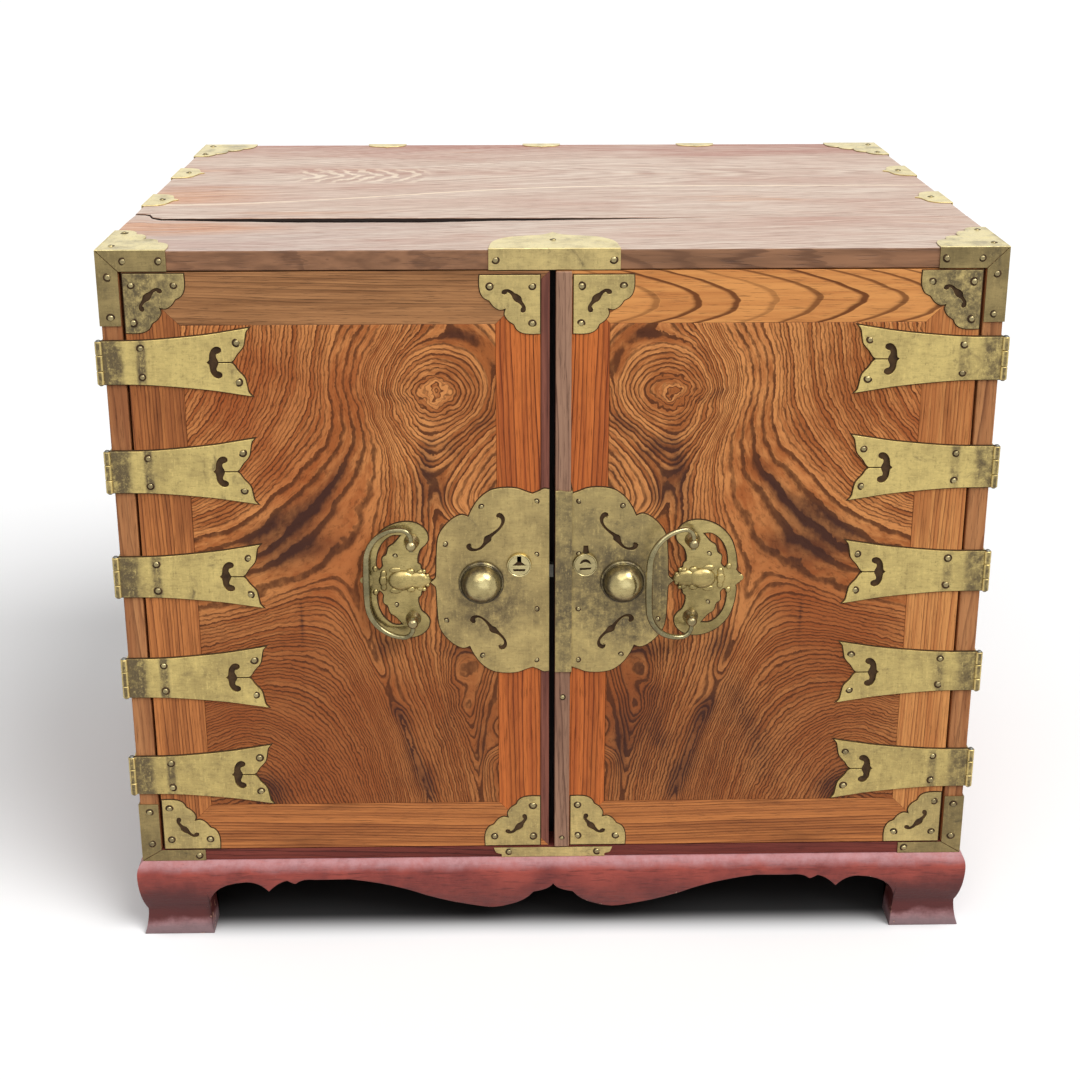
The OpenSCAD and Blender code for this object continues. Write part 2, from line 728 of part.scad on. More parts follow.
// The right plate steps up over the meeting strip
module right_lock_plate() {
    step = strip_w;
    sheath = [step + lock_plate_t, 2 * lock_plate_half];
    color(brass) on_side(1) translate([-edge_in(1), 0, lock_h]) difference() {
        union() {
            front_plate(door_y, lock_plate_t) intersection() {
                lock_plate_shape();
                translate([-100 - step, -100]) square([100, 200]);
            }
            front_plate(door_y, strip_t + lock_plate_t)
                translate([-step - lock_plate_t, -lock_plate_half + 1]) square([lock_plate_t, sheath.y - 2]);
            front_plate(door_y - strip_t, lock_plate_t)
                translate([-sheath.x, -lock_plate_half + 1]) square([sheath.x, sheath.y - 2]);
        }
        translate([-plug_in - 1.2, door_y - 10, plug_up + plug_r + 1.5]) cube([2.4, 20, 6]);
    }
}

module knob(side) {
    color(brass) on_side(side)
        translate([-edge_in(side) - knob_in, door_y - lock_plate_t, lock_h]) rotate([90, 0, 0])
            rotate_extrude() polygon(concat([[0, 0], [knob_r, 0], [knob_r, 1.4], [knob_r - 1.4, 2.8], [knob_r - 3, 2.4]],
                bend([knob_r - 3, 2.4], [knob_r - 3.4, knob_h * 0.88], [knob_r * 0.34, knob_h * 0.97], 8),
                [[0, knob_h]]));
}
module left_knob() { knob(-1); }
module right_knob() { knob(1); }

// Round face of a lock plug with its key slot, its front towards the viewer
module plug_face() {
    difference() {
        union() {
            cylinder(r = plug_r, h = 2);
            translate([0, 0, 2]) cylinder(r = plug_r - 1, h = 1.2);
        }
        translate([-plug_r * 0.55, -2.6, 1.2]) cube([plug_r * 1.1, 1.8, 3]);
        translate([0, 1.2, 1.2]) linear_extrude(3) polygon([[-2.6, 0], [2.6, 0], [0.7, 2.2], [0.7, 5], [-0.7, 5], [-0.7, 2.2]]);
    }
}

module at_plug(side) {
    translate([side * (edge_in(side) + plug_in), 0, plug_z]) rotate([90, 0, 0]) children();
}

module left_lock_plug() {
    face_y = door_y - lock_plate_t - gap;
    color(brass) at_plug(-1) {
        translate([0, 0, -face_y]) plug_face();
        translate([0, 0, -crank_y]) cylinder(r = plug_shaft_r, h = crank_y - face_y);
        translate([0, 0, -crank_y - crank_t]) cylinder(r = crank_disc_r, h = crank_t);
        translate([-crank_travel / 2, -crank_travel / 2, -bolt_y - bolt_t + gap])
            cylinder(r = crank_pin_r, h = bolt_y + bolt_t - gap - crank_y - crank_t);
    }
}

module left_lock_bolt() {
    tip_x = -edge_in(-1) + bolt_peek;
    pin_x = -edge_in(-1) - plug_in - crank_travel / 2;
    notch_w = 2 * (crank_pin_r + slot_gap);
    color(steel) difference() {
        board([tip_x - bolt_len, bolt_y, bolt_z], [tip_x, bolt_y + bolt_t, bolt_z + bolt_h]);
        board([pin_x - notch_w / 2, bolt_y - 1, plug_z - crank_r - crank_pin_r - slot_gap],
            [pin_x + notch_w / 2, bolt_y + bolt_t + 1, bolt_z + bolt_h + 1]);
    }
}

module left_lock_cover() {
    half = crank_disc_r + 3;
    x = -edge_in(-1) - plug_in;
    color(brass) board([x - half, door_back, plug_z - half], [x + half, door_back + mount_t, plug_z + half]);
}

module right_lock_plug() {
    face_y = door_y - lock_plate_t - gap;
    color(brass) at_plug(1) {
        translate([0, 0, -face_y]) plug_face();
        translate([0, 0, -cam_y]) cylinder(r = plug_shaft_r, h = cam_y - face_y);
        translate([0, 0, -cam_y]) cylinder(r = plug_shaft_r + 1.5, h = cam_y - door_back - gap);
        translate([0, 0, -cam_y - cam_t]) linear_extrude(cam_t) {
            circle(cam_w / 2 + 1.5);
            translate([-cam_w / 2, -cam_len]) square([cam_w, cam_len]);
        }
    }
}

// Handles

function bail_plate_edge() = concat(
    [[12.4, 0]],
    bend([12.4, 0], [11, 8], [5, 12.5], 4),
    bend([5, 12.5], [2.2, 15], [2.8, 20], 3),
    bend([2.8, 20], [3.5, 27], [8.5, 30], 3),
    bend([8.5, 30], [13, 37], [8, 43], 4),
    bend([8, 43], [0, 51], [-16, 47], 5),
    bend([-16, 47], [-36, 39], [-37, 4]),
    [[-39, 0]]);

module bail_plate_window() {
    polygon(concat([[-10.5, 36]],
        bend([-10.5, 36], [-27.5, 33], [-28.5, 13], 5),
        [[-22.5, 11.5]],
        bend([-22.5, 11.5], [-20, 26], [-10.5, 36], 4)));
}

module bail_plate(side) {
    x = -edge_in(side) - bail_in;
    color(brass) on_side(side) union() {
        front_plate(door_y, mount_t) translate([x, bail_h]) difference() {
            polygon(both_y(bail_plate_edge()));
            bail_plate_window();
            mirror([0, 1]) bail_plate_window();
        }
        translate([x - 12.5, door_y - mount_t, bail_h]) rotate([90, 0, 0])
            cylinder(r1 = 8, r2 = 3.5, h = 3);
    }
}
module left_bail_plate() { bail_plate(-1); }
module right_bail_plate() { bail_plate(1); }

module bail_posts(side) {
    color(brass) on_side(side) for (s = [-1, 1])
        translate([-edge_in(side) - bail_in, door_y - mount_t, bail_h + s * post_gap / 2]) difference() {
            union() {
                rotate([90, 0, 0]) cylinder(r = post_r * 0.72, h = pivot_out - mount_t);
                translate([0, mount_t - pivot_out, 0]) sphere(post_r);
            }
            translate([0, mount_t - pivot_out, -post_r - 1])
                cylinder(r = bail_pin_r + run_gap, h = 2 * post_r + 2);
        }
}
module left_bail_posts() { bail_posts(-1); }
module right_bail_posts() { bail_posts(1); }

// A handle drawn in the x-z plane, reaching along -x from its pivot axis
module bail_shape() {
    shoulder = post_gap / 2 + post_r + gap;
    pin_low = post_gap / 2 - post_r - 0.5;
    bend_r = 7.5;
    sweep_r = bail_reach - bend_r;
    grip_half = shoulder + bend_r - sweep_r;
    rotate([90, 0, 0]) for (s = [0, 1]) mirror([0, s, 0]) {
        translate([0, pin_low, 0]) rotate([-90, 0, 0]) cylinder(r = bail_pin_r, h = shoulder - pin_low);
        translate([-bend_r, shoulder, 0]) rotate_extrude(angle = 90)
            translate([bend_r, 0]) circle(bail_r, $fn = 32);
        translate([-bend_r, shoulder + bend_r - sweep_r, 0]) rotate([0, 0, 90])
            rotate_extrude(angle = 90) translate([sweep_r, 0]) circle(bail_r, $fn = 32);
    }
    translate([-bail_reach, 0, 0]) rotate_extrude()
        polygon([[0, -grip_half], [bail_r, -grip_half], [grip_r, -grip_half * 0.45], [grip_r, grip_half * 0.45],
            [bail_r, grip_half], [0, grip_half]]);
}

// The left handle lies outwards on its plate; the right one stands off the door, to the middle
module left_bail() {
    color(brass) translate([-edge_in(-1) - bail_in, door_y - pivot_out, bail_h])
        rotate([0, 0, -left_lean]) bail_shape();
}
module right_bail() {
    color(brass) translate([edge_in(1) + bail_in, door_y - pivot_out, bail_h])
        rotate([0, 0, right_lift]) bail_shape();
}

module door_nails(side) {
    edge = edge_in(side);
    mount_nails = [[0.13, 0.85], [0.14, 0.2], [0.85, 0.2]];
    plate_nails = [[-9.4, 65], [-49.7, 60], [-77, 31], [-9.4, 35]];
    inner_inset = side < 0 ? 6.5 : strip_w + 0.8;
    strip_shift = side < 0 ? 0 : 8;
    color(dark_brass) on_side(side) {
        for (i = [0:strap_count - 1], p = [[28, 0.66], [strap_len - 13, 0.9]], s = [-1, 1])
            front_nail(-hinge_x + p.x, door_y - strap_t, strap_z(i) + s * strap_half * p.y);
        for (p = mount_nails * door_mount_leg) {
            for (z = [door_z + 0.5 + p.y, door_z + door_h - 0.5 - p.y])
                front_nail(-door_outer + 0.5 + p.x, door_y - mount_t, z);
            for (z = [door_z + 0.5 + p.y, door_z + door_h - 2.5 - p.y])
                front_nail(-edge - inner_inset - p.x, door_y - mount_t, z);
        }
        for (p = plate_nails, s = [-1, 1])
            front_nail(-edge + p.x - (p.x > -20 ? strip_shift : 0), door_y - lock_plate_t, lock_h + s * p.y);
        for (s = [-1, 1]) front_nail(-edge - bail_in - 12.5, door_y - mount_t, bail_h + s * 19.5);
    }
}
module left_door_nails() { door_nails(-1); }
module right_door_nails() {
    door_nails(1);
    color(dark_brass) for (z = [door_z + 8, lock_h - lock_plate_half - 20])
        front_nail(edge_in(1) + strip_w / 2, door_y - strip_t, z);
}

// Drawers

module drawer_front(side, z, h) {
    color(elm) on_side(side)
        board([-inner_w + upright_t + drawer_gap, drawer_y, z + gap],
            [-divider_t / 2 - drawer_gap, drawer_y + drawer_front_t, z + h - drawer_gap]);
}

module drawer_box(side, z, h) {
    x0 = -inner_w + upright_t + drawer_gap;
    x1 = -divider_t / 2 - drawer_gap;
    y0 = drawer_y + drawer_front_t;
    y1 = drawer_y + drawer_len;
    z0 = z + gap;
    z1 = z + h - 3 * drawer_gap - drawer_side_t;
    t = drawer_side_t;
    color(inner_pine) on_side(side) {
        board([x0, y0, z0], [x0 + t, y1, z1]);
        board([x1 - t, y0, z0], [x1, y1, z1]);
        board([x0 + t + glue, y1 - t, z0], [x1 - t - glue, y1, z1]);
        board([x0 + t + glue, y0, z0], [x1 - t - glue, y1 - t - glue, z0 + drawer_bottom_t]);
    }
}

module drawer_knob(side, z, h) {
    r = drawer_knob_r;
    k = drawer_knob_h;
    color(brass) on_side(side)
        translate([-divider_t / 2 - bay_w / 2, drawer_y, z + h / 2]) rotate([90, 0, 0])
            rotate_extrude($fn = 32) polygon([[0, 0], [r * 0.8, 0], [r * 0.8, 1], [r * 0.35, 2], [r * 0.35, k * 0.4],
                [r, k * 0.62], [r * 0.92, k * 0.82], [r * 0.5, k], [0, k]]);
}

module drawer_left_top_front() { drawer_front(-1, left_top_z, left_top_h); }
module drawer_left_top_box() { drawer_box(-1, left_top_z, left_top_h); }
module drawer_left_top_knob() { drawer_knob(-1, left_top_z, left_top_h); }
module drawer_left_mid_front() { drawer_front(-1, left_mid_z, left_mid_h); }
module drawer_left_mid_box() { drawer_box(-1, left_mid_z, left_mid_h); }
module drawer_left_mid_knob() { drawer_knob(-1, left_mid_z, left_mid_h); }
module drawer_left_low_front() { drawer_front(-1, left_low_z, left_low_h); }
module drawer_left_low_box() { drawer_box(-1, left_low_z, left_low_h); }
module drawer_left_low_knob() { drawer_knob(-1, left_low_z, left_low_h); }
module drawer_right_top_front() { drawer_front(1, right_top_z, right_top_h); }
module drawer_right_top_box() { drawer_box(1, right_top_z, right_top_h); }
module drawer_right_top_knob() { drawer_knob(1, right_top_z, right_top_h); }
module drawer_right_low_front() { drawer_front(1, right_low_z, right_low_h); }
module drawer_right_low_box() { drawer_box(1, right_low_z, right_low_h); }
module drawer_right_low_knob() { drawer_knob(1, right_low_z, right_low_h); }

side_left();
side_right();
top_front_board();
top_rear_board();
bottom_board();
back_planks_set();
centre_divider();
inner_uprights();
drawer_shelves();
stand_front();
stand_rear();
stand_left();
stand_right();
top_corner_mounts();
bottom_corner_mounts();
edge_mounts();
case_nails();
hinge_side_leaves();
hinge_pins();
left_door_panel();
left_door_frame();
left_door_straps();
left_door_corner_mounts();
left_lock_plate();
left_knob();
left_bail_plate();
left_bail_posts();
left_door_nails();
left_lock_cover();
left_lock_plug();
left_lock_bolt();
left_bail();
right_door_panel();
right_door_frame();
right_meeting_strip();
right_door_straps();
right_door_corner_mounts();
right_lock_plate();
right_knob();
right_bail_plate();
right_bail_posts();
right_door_nails();
right_lock_plug();
right_bail();
drawer_left_top_front();
drawer_left_top_box();
drawer_left_top_knob();
drawer_left_mid_front();
drawer_left_mid_box();
drawer_left_mid_knob();
drawer_left_low_front();
drawer_left_low_box();
drawer_left_low_knob();
drawer_right_top_front();
drawer_right_top_box();
drawer_right_top_knob();
drawer_right_low_front();
drawer_right_low_box();
drawer_right_low_knob();
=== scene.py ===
# %% [markdown]
# # A brass-bound chest with two doors
# The chest is elm: a plank case on a red lacquered stand, with two framed doors whose panels are cut
# from one figured board and opened like a book. Nearly everything else is sheet brass and nails.
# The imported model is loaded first. It is the fixed frame, and every piece below sits where it says.

# %% Load the fixed frame
import math

import bmesh
import bpy
import numpy as np
from mathutils import Matrix, Vector


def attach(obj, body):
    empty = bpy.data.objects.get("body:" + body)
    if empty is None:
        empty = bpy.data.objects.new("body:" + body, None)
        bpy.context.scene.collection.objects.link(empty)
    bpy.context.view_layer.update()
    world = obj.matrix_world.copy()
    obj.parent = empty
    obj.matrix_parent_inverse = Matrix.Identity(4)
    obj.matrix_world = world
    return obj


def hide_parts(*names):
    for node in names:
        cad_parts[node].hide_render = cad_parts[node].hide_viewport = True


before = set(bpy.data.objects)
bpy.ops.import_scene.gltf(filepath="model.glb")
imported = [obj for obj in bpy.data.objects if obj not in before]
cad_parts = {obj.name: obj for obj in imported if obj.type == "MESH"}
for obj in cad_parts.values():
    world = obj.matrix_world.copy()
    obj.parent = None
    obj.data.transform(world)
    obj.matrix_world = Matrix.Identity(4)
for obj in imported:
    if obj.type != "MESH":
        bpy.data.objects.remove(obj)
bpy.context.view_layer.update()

# %% [markdown]
# ## Camera
# The photograph was taken a little above the chest, from slightly left of its middle. A lens of 56 mm
# looking 17.4 degrees down gives the eight corners of the case their places. The photograph shows the
# lens's middle above the middle of the picture, which is a small downward shift.

# %% Camera
MM = 0.001
FRONT_Y = -221.464


def linked(name, data):
    """A new object, put in the scene."""
    obj = bpy.data.objects.new(name, data)
    bpy.context.scene.collection.objects.link(obj)
    return obj


pitch, yaw = math.radians(17.407), math.radians(1.122)
ahead = Vector((math.sin(yaw) * math.cos(pitch), math.cos(yaw) * math.cos(pitch), -math.sin(pitch)))
right = Vector((math.cos(yaw), -math.sin(yaw), 0))
turn = Matrix((right, right.cross(ahead), -ahead)).transposed().to_4x4()
lens = bpy.data.cameras.new("camera")
lens.lens, lens.sensor_width, lens.shift_y = 56.26, 36, -0.137
camera = linked("camera", lens)
camera.matrix_world = Matrix.Translation(Vector((-32.9, FRONT_Y - 1156.8, 810.1)) * MM) @ turn
bpy.context.scene.camera = camera
print("camera at", [round(n, 3) for n in camera.matrix_world.translation])

# %% [markdown]
# ## Shapes in millimetres
# A maker thinks in millimetres, and so does this file. A Shape holds points and faces in millimetres
# and can be moved, mirrored and added to others. It turns into a Blender mesh only at the end.
# A wooden shape also carries, for each point, its place in the log that the board was cut from.

# %% Shape
class Shape:
    def __init__(self, points=(), faces=(), log=None):
        self.points = [Vector(p) for p in points]
        self.faces = [tuple(f) for f in faces]
        self.log = list(log) if log else [Vector()] * len(self.points)

    def __add__(self, other):
        n = len(self.points)
        return Shape(self.points + other.points,
                     self.faces + [tuple(i + n for i in f) for f in other.faces], self.log + other.log)

    def moved(self, matrix):
        return Shape([matrix @ p for p in self.points], self.faces, self.log)

    def mirrored(self):
        return Shape([Vector((-p.x, p.y, p.z)) for p in self.points], [f[::-1] for f in self.faces], self.log)

    def cut_from(self, grain, log):
        """Remembers the place in the log: along the grain first, then the two ways across it."""
        order = {"x": (0, 2, 1), "y": (1, 0, 2), "z": (2, 0, 1)}[grain]
        self.log = [Vector([p[order[k]] + log[k] for k in range(3)]) for p in self.points]
        return self


def joined(shapes):
    return sum(shapes, Shape())


def from_bmesh(bm):
    bmesh.ops.recalc_face_normals(bm, faces=bm.faces[:])
    bm.verts.index_update()
    shape = Shape([v.co.copy() for v in bm.verts], [[v.index for v in f.verts] for f in bm.faces])
    bm.free()
    return shape


def net(points, faces, merge=0.0):
    """A shape from numbered faces, with points that lie closer than merge made one."""
    bm = bmesh.new()
    verts = [bm.verts.new(p) for p in points]
    for face in faces:
        bm.faces.new([verts[k] for k in face])
    if merge:
        bmesh.ops.remove_doubles(bm, verts=bm.verts[:], dist=merge)
    return from_bmesh(bm)


def moved_to(x=0, y=0, z=0):
    return Matrix.Translation((x, y, z))


def turned(degrees, axis):
    return Matrix.Rotation(math.radians(degrees), 4, axis)


SIDES = {"left": -1, "right": 1}


def on_side(shape, side):
    """Everything is drawn for the left half. The right half is its mirror image."""
    return shape if side == "left" else shape.mirrored()


# %% [markdown]
# A board has slightly softened edges, because a sharp edge never lasts and catches no light.

# %% Boards
def board(low, high, grain="z", log=(0, 0, 0), edge=0.6):
    bm = bmesh.new()
    bmesh.ops.create_cube(bm, size=1)
    low, high = Vector(low), Vector(high)
    for v in bm.verts:
        v.co = (low + high) / 2 + v.co * (high - low)
    bmesh.ops.bevel(bm, geom=bm.edges[:], offset=edge, segments=2, profile=0.5, affect="EDGES")
    return from_bmesh(bm).cut_from(grain, log)


def boxes_of(node):
    """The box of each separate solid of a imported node, in millimetres."""
    bm = bmesh.new()
    bm.from_mesh(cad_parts[node].data)
    bmesh.ops.remove_doubles(bm, verts=bm.verts[:], dist=1e-6)
    found, seen = [], set()
    for start in bm.verts:
        if start in seen:
            continue
        seen.add(start)
        island, ends = [start], [start]
        while ends:
            for e in ends.pop().link_edges:
                for v in e.verts:
                    if v not in seen:
                        seen.add(v)
                        island.append(v)
                        ends.append(v)
        cos = [v.co / MM for v in island]
        found.append((Vector([min(c[k] for c in cos) for k in range(3)]),
                      Vector([max(c[k] for c in cos) for k in range(3)])))
    bm.free()
    return found


def boards_of(node, grain="z", log=(0, 0, 0), edge=0.6):
    """Boards in place of a node's solids, each from another part of the log."""
    return joined(board(low, high, grain, (log[0] + 170 * i, log[1] + 13 * i, log[2]), edge)
                  for i, (low, high) in enumerate(boxes_of(node)))


# %% [markdown]
# Sheet brass is cut along an outline, pierced, and its edges are filed round. A flat Blender curve
# does the same: it fills the outline, leaves the holes open, gives it thickness and bevels the edge.
# Outlines are drawn as runs of a few points, with a smooth curve through each run.

# %% Sheet metal
def smooth(points, steps=5):
    """A smooth line through points, which keeps its two ends as corners."""
    p = [Vector(q).to_2d() for q in points]
    p = [2 * p[0] - p[1]] + p + [2 * p[-1] - p[-2]]
    line = []
    for a, b, c, d in zip(p, p[1:], p[2:], p[3:]):
        for k in range(steps):
            t = k / steps
            line.append(0.5 * (2 * b + (c - a) * t + (2 * a - 5 * b + 4 * c - d) * t * t
                               + (3 * b - a - 3 * c + d) * t ** 3))
    return [tuple(q) for q in line] + [tuple(p[-2])]


def both_ways(half, flip=(1, -1)):
    """A half outline and its mirror image, walked back. A point on the mirror's line is kept once."""
    loop = half + [(x * flip[0], y * flip[1]) for x, y in half[::-1]]
    return [p for i, p in enumerate(loop) if math.dist(p, loop[i - 1]) > 1e-6]


def stroke(line, steps=5):
    """The outline of a line whose half width changes along it, given as (x, y, half width)."""
    middle = smooth([p[:2] for p in line], steps)
    widths = [w for _, w in smooth([(i, p[2]) for i, p in enumerate(line)], steps)]
    left, back = [], []
    for i, (p, w) in enumerate(zip(middle, widths)):
        a, b = Vector(middle[max(i - 1, 0)]), Vector(middle[min(i + 1, len(middle) - 1)])
        side = (b - a).normalized().orthogonal() * w
        left.append((p[0] + side.x, p[1] + side.y))
        back.append((p[0] - side.x, p[1] - side.y))
    return left + back[::-1]


def evaluated(obj):
    """The mesh that an object's curve or modifiers make."""
    depsgraph = bpy.context.evaluated_depsgraph_get()
    return bpy.data.meshes.new_from_object(obj.evaluated_get(depsgraph), depsgraph=depsgraph)


def as_bmesh(mesh):
    bm = bmesh.new()
    bm.from_mesh(mesh)
    bpy.data.meshes.remove(mesh)
    return bm


def sheet(outline, holes=(), thick=1.0, edge=0.3, grow=0.0):
    """A flat sheet in x and y, from z = 0 up to its thickness."""
    curve = bpy.data.curves.new("sheet", "CURVE")
    curve.dimensions, curve.fill_mode = "2D", "BOTH"
    for loop in [outline, *holes]:
        spline = curve.splines.new("POLY")
        spline.points.add(len(loop) - 1)
        for point, (x, y) in zip(spline.points, loop):
            point.co = (x, y, 0, 1)
        spline.use_cyclic_u = True
    curve.extrude, curve.bevel_depth, curve.bevel_resolution = thick / 2 - edge, edge, 1
    curve.offset = grow - edge
    holder = linked("sheet", curve)
    bm = as_bmesh(evaluated(holder))
    bpy.data.objects.remove(holder)
    bmesh.ops.remove_doubles(bm, verts=bm.verts[:], dist=0.002)
    bmesh.ops.translate(bm, verts=bm.verts[:], vec=(0, 0, thick / 2))
    return from_bmesh(bm)


def as_object(shape, name):
    mesh = bpy.data.meshes.new(name)
    mesh.from_pydata(shape.points, [], shape.faces)
    return linked(name, mesh)


def cut_out(shape, tool):
    """The shape without what the tool takes away, by a Boolean modifier."""
    block, cutter = as_object(shape, "block"), as_object(tool, "cutter")
    cut = block.modifiers.new("cut", "BOOLEAN")
    cut.operation, cut.object, cut.solver = "DIFFERENCE", cutter, "EXACT"
    bm = as_bmesh(evaluated(block))
    for obj in (block, cutter):
        bpy.data.meshes.remove(obj.data)
    return from_bmesh(bm)


def loft(sections):
    """A closed skin over loops of points, one after the other, with flat ends."""
    bm = bmesh.new()
    loops = [[bm.verts.new(p) for p in s] for s in sections]
    n = len(sections[0])
    for a, b in zip(loops, loops[1:]):
        for k in range(n):
            bm.faces.new([a[k], a[(k + 1) % n], b[(k + 1) % n], b[k]])
    bm.faces.new(loops[0])
    bm.faces.new(loops[-1])
    return from_bmesh(bm)


def on_front(shape, x, y, z):
    """Lays a flat shape on a surface that faces forwards at y."""
    return shape.moved(moved_to(x, y, z) @ turned(90, "X"))


def front_sheet(outline, x=0, y=FRONT_Y, z=0, holes=(), thick=1.0, edge=0.3, grow=0.0):
    """A sheet on the front of the case, of a door or of a part of it."""
    return on_front(sheet(outline, holes, thick, edge, grow), x, y, z)


def on_left_side(shape, x, y, z):
    """Lays a flat shape on the left side, its own x running back."""
    return shape.mirrored().moved(moved_to(x, y, z) @ turned(-90, "Z") @ turned(90, "X"))


def circle(radius, steps, x=0, y=0):
    angles = [math.tau * k / steps for k in range(steps)]
    return [(x + radius * math.cos(a), y + radius * math.sin(a)) for a in angles]


def lathe(profile, steps=40):
    """A turned shape from (radius, height) pairs, round its own z axis."""
    bm = bmesh.new()
    rings = [[bm.verts.new((*p, height)) for p in circle(radius, steps if radius else 1)]
             for radius, height in profile]
    for a, b in zip(rings, rings[1:]):
        for k in range(steps):
            corners = [a[k % len(a)], a[(k + 1) % len(a)], b[(k + 1) % len(b)], b[k % len(b)]]
            corners = list(dict.fromkeys(corners))
            if len(corners) > 2:
                bm.faces.new(corners)
    return from_bmesh(bm)


def rod(radius, low, high, steps=48):
    return lathe([(0, low), (radius, low), (radius, high), (0, high)], steps)


def bar(path, steps=16):
    """A bent bar along (point, radius in the plane of x and z, radius forwards)."""
    points = [Vector(p) for p, _, _ in path]
    normal = Vector((0, 1, 0))
    sections = []
    for i, (_, wide, thick) in enumerate(path):
        way = (points[min(i + 1, len(points) - 1)] - points[max(i - 1, 0)]).normalized()
        side = way.cross(normal).normalized()
        sections.append([points[i] + side * wide * x + normal * thick * y for x, y in circle(1, steps)])
    return loft(sections)


def lump(rx, ry, rz, x=0, y=0, z=0):
    """A rounded lump, as beaten up from behind a sheet."""
    bm = bmesh.new()
    bmesh.ops.create_uvsphere(bm, u_segments=24, v_segments=12, radius=1)
    for v in bm.verts:
        v.co = Vector((v.co.x * rx + x, v.co.y * ry + y, v.co.z * rz + z))
    return from_bmesh(bm)


# %% [markdown]
# A finished piece is one mesh whose object sits at the origin. It rides on a body of the imported model,
# takes the finish that it is given, and stands for the imported node of its own name, unless it names
# another. A piece that has no such node, such as the dirt and painted shade under the brass, replaces nothing.

# %% Pieces
def settle(obj, name, body, node):
    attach(obj, body)
    node = node or name
    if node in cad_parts:
        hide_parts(node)


def piece(name, shape, body, slot, material, node=None, sharp=18, marks=None):
    mesh = bpy.data.meshes.new(name)
    mesh.from_pydata([p * MM for p in shape.points], [], shape.faces)
    mesh.polygons.foreach_set("use_smooth", [True] * len(mesh.polygons))
    mesh.set_sharp_from_angle(angle=math.radians(sharp))
    if any(p.length_squared for p in shape.log):
        place = mesh.attributes.new("log", "FLOAT_VECTOR", "POINT")
        place.data.foreach_set("vector", [n for p in shape.log for n in p])
    for mark, values in (marks or {}).items():
        mesh.attributes.new(mark, "FLOAT", "POINT").data.foreach_set("value", values)
    mesh.materials.append(material)
    settle(linked(name, mesh), name, body, node)
    print(f"{name}: {len(mesh.polygons)} faces on {body}")


def brass_piece(side, name, shape, material, part="door", **more):
    """A brass piece of one door, drawn for the left half, on the door or on a part that moves on it."""
    piece(f"{side}_{name}", on_side(shape, side), f"{side}_{part}", "brass", material, **more)


# %% [markdown]
# ## Finishes
# A finish is a small program of shader nodes. Two classes let it be written as Python: Value wraps a
# socket so that + - * / add Math nodes, and Finish adds any other node in one call.

# %% Shader maths
def srgb(r, g, b):
    """A colour as an image shows it, 0 to 255, as the shader wants it."""
    return tuple((c / 255 / 12.92 if c <= 10 else ((c / 255 + 0.055) / 1.055) ** 2.4) for c in (r, g, b)) + (1,)


class Value:
    def __init__(self, finish, socket):
        self.finish, self.socket = finish, socket

    def math(self, operation, *others, first=True):
        values = [self, *others] if first else [*others, self]
        return self.finish.node("ShaderNodeMath", {"operation": operation}, dict(enumerate(values)))

    def __add__(self, other): return self.math("ADD", other)
    __radd__ = __add__
    def __sub__(self, other): return self.math("SUBTRACT", other)
    def __rsub__(self, other): return self.math("SUBTRACT", other, first=False)
    def __mul__(self, other): return self.math("MULTIPLY", other)
    __rmul__ = __mul__
    def __truediv__(self, other): return self.math("DIVIDE", other)
    def fract(self): return self.math("FRACT")
    def floor(self): return self.math("FLOOR")
    def size(self): return self.math("ABSOLUTE")
    def most(self, other): return self.math("MAXIMUM", other)
    def reach(self, other): return (self * self + other * other).math("SQRT")

    def ease(self, low, high):
        """0 below low, 1 above high, and smooth in between."""
        return self.finish.node("ShaderNodeMapRange", {"interpolation_type": "SMOOTHSTEP"},
                                {"Value": self, "From Min": low, "From Max": high})

    def times(self, *factors):
        """A vector stretched by three factors."""
        return self.finish.node("ShaderNodeVectorMath", {"operation": "MULTIPLY"}, {0: self, 1: factors})

    def axes(self):
        return [self.finish.node("ShaderNodeSeparateXYZ", {}, {0: self}, out=k) for k in range(3)]

    def far_from(self, x, y, z):
        return self.finish.node("ShaderNodeVectorMath", {"operation": "DISTANCE"},
                                {0: self, 1: (x, y, z)}, out="Value")

    def noise(self, scale=1.0, detail=2.0, rough=0.5, twist=0.0):
        """Noise round 0, about -0.5 to 0.5, of a vector."""
        return self.finish.node("ShaderNodeTexNoise", {}, {"Vector": self, "Scale": scale, "Detail": detail,
                                                           "Roughness": rough, "Distortion": twist}) - 0.5

    def chance(self):
        """One random number from 0 to 1 for each value."""
        return self.finish.node("ShaderNodeTexWhiteNoise", {"noise_dimensions": "1D"}, {"W": self})

    def ramp(self, *stops):
        """A number read off stops of (place, number)."""
        return self.finish.node("ShaderNodeFloatCurve", {"stops": stops}, {"Value": self})

    def blend(self, low, high):
        """From one colour to another, by this number."""
        return self.finish.node("ShaderNodeMix", {"data_type": "RGBA"}, {0: self, 6: low, 7: high}, out=2)

    def painted(self, mask, *rgb):
        """This colour, covered with another one by a mask."""
        return mask.blend(self, srgb(*rgb))


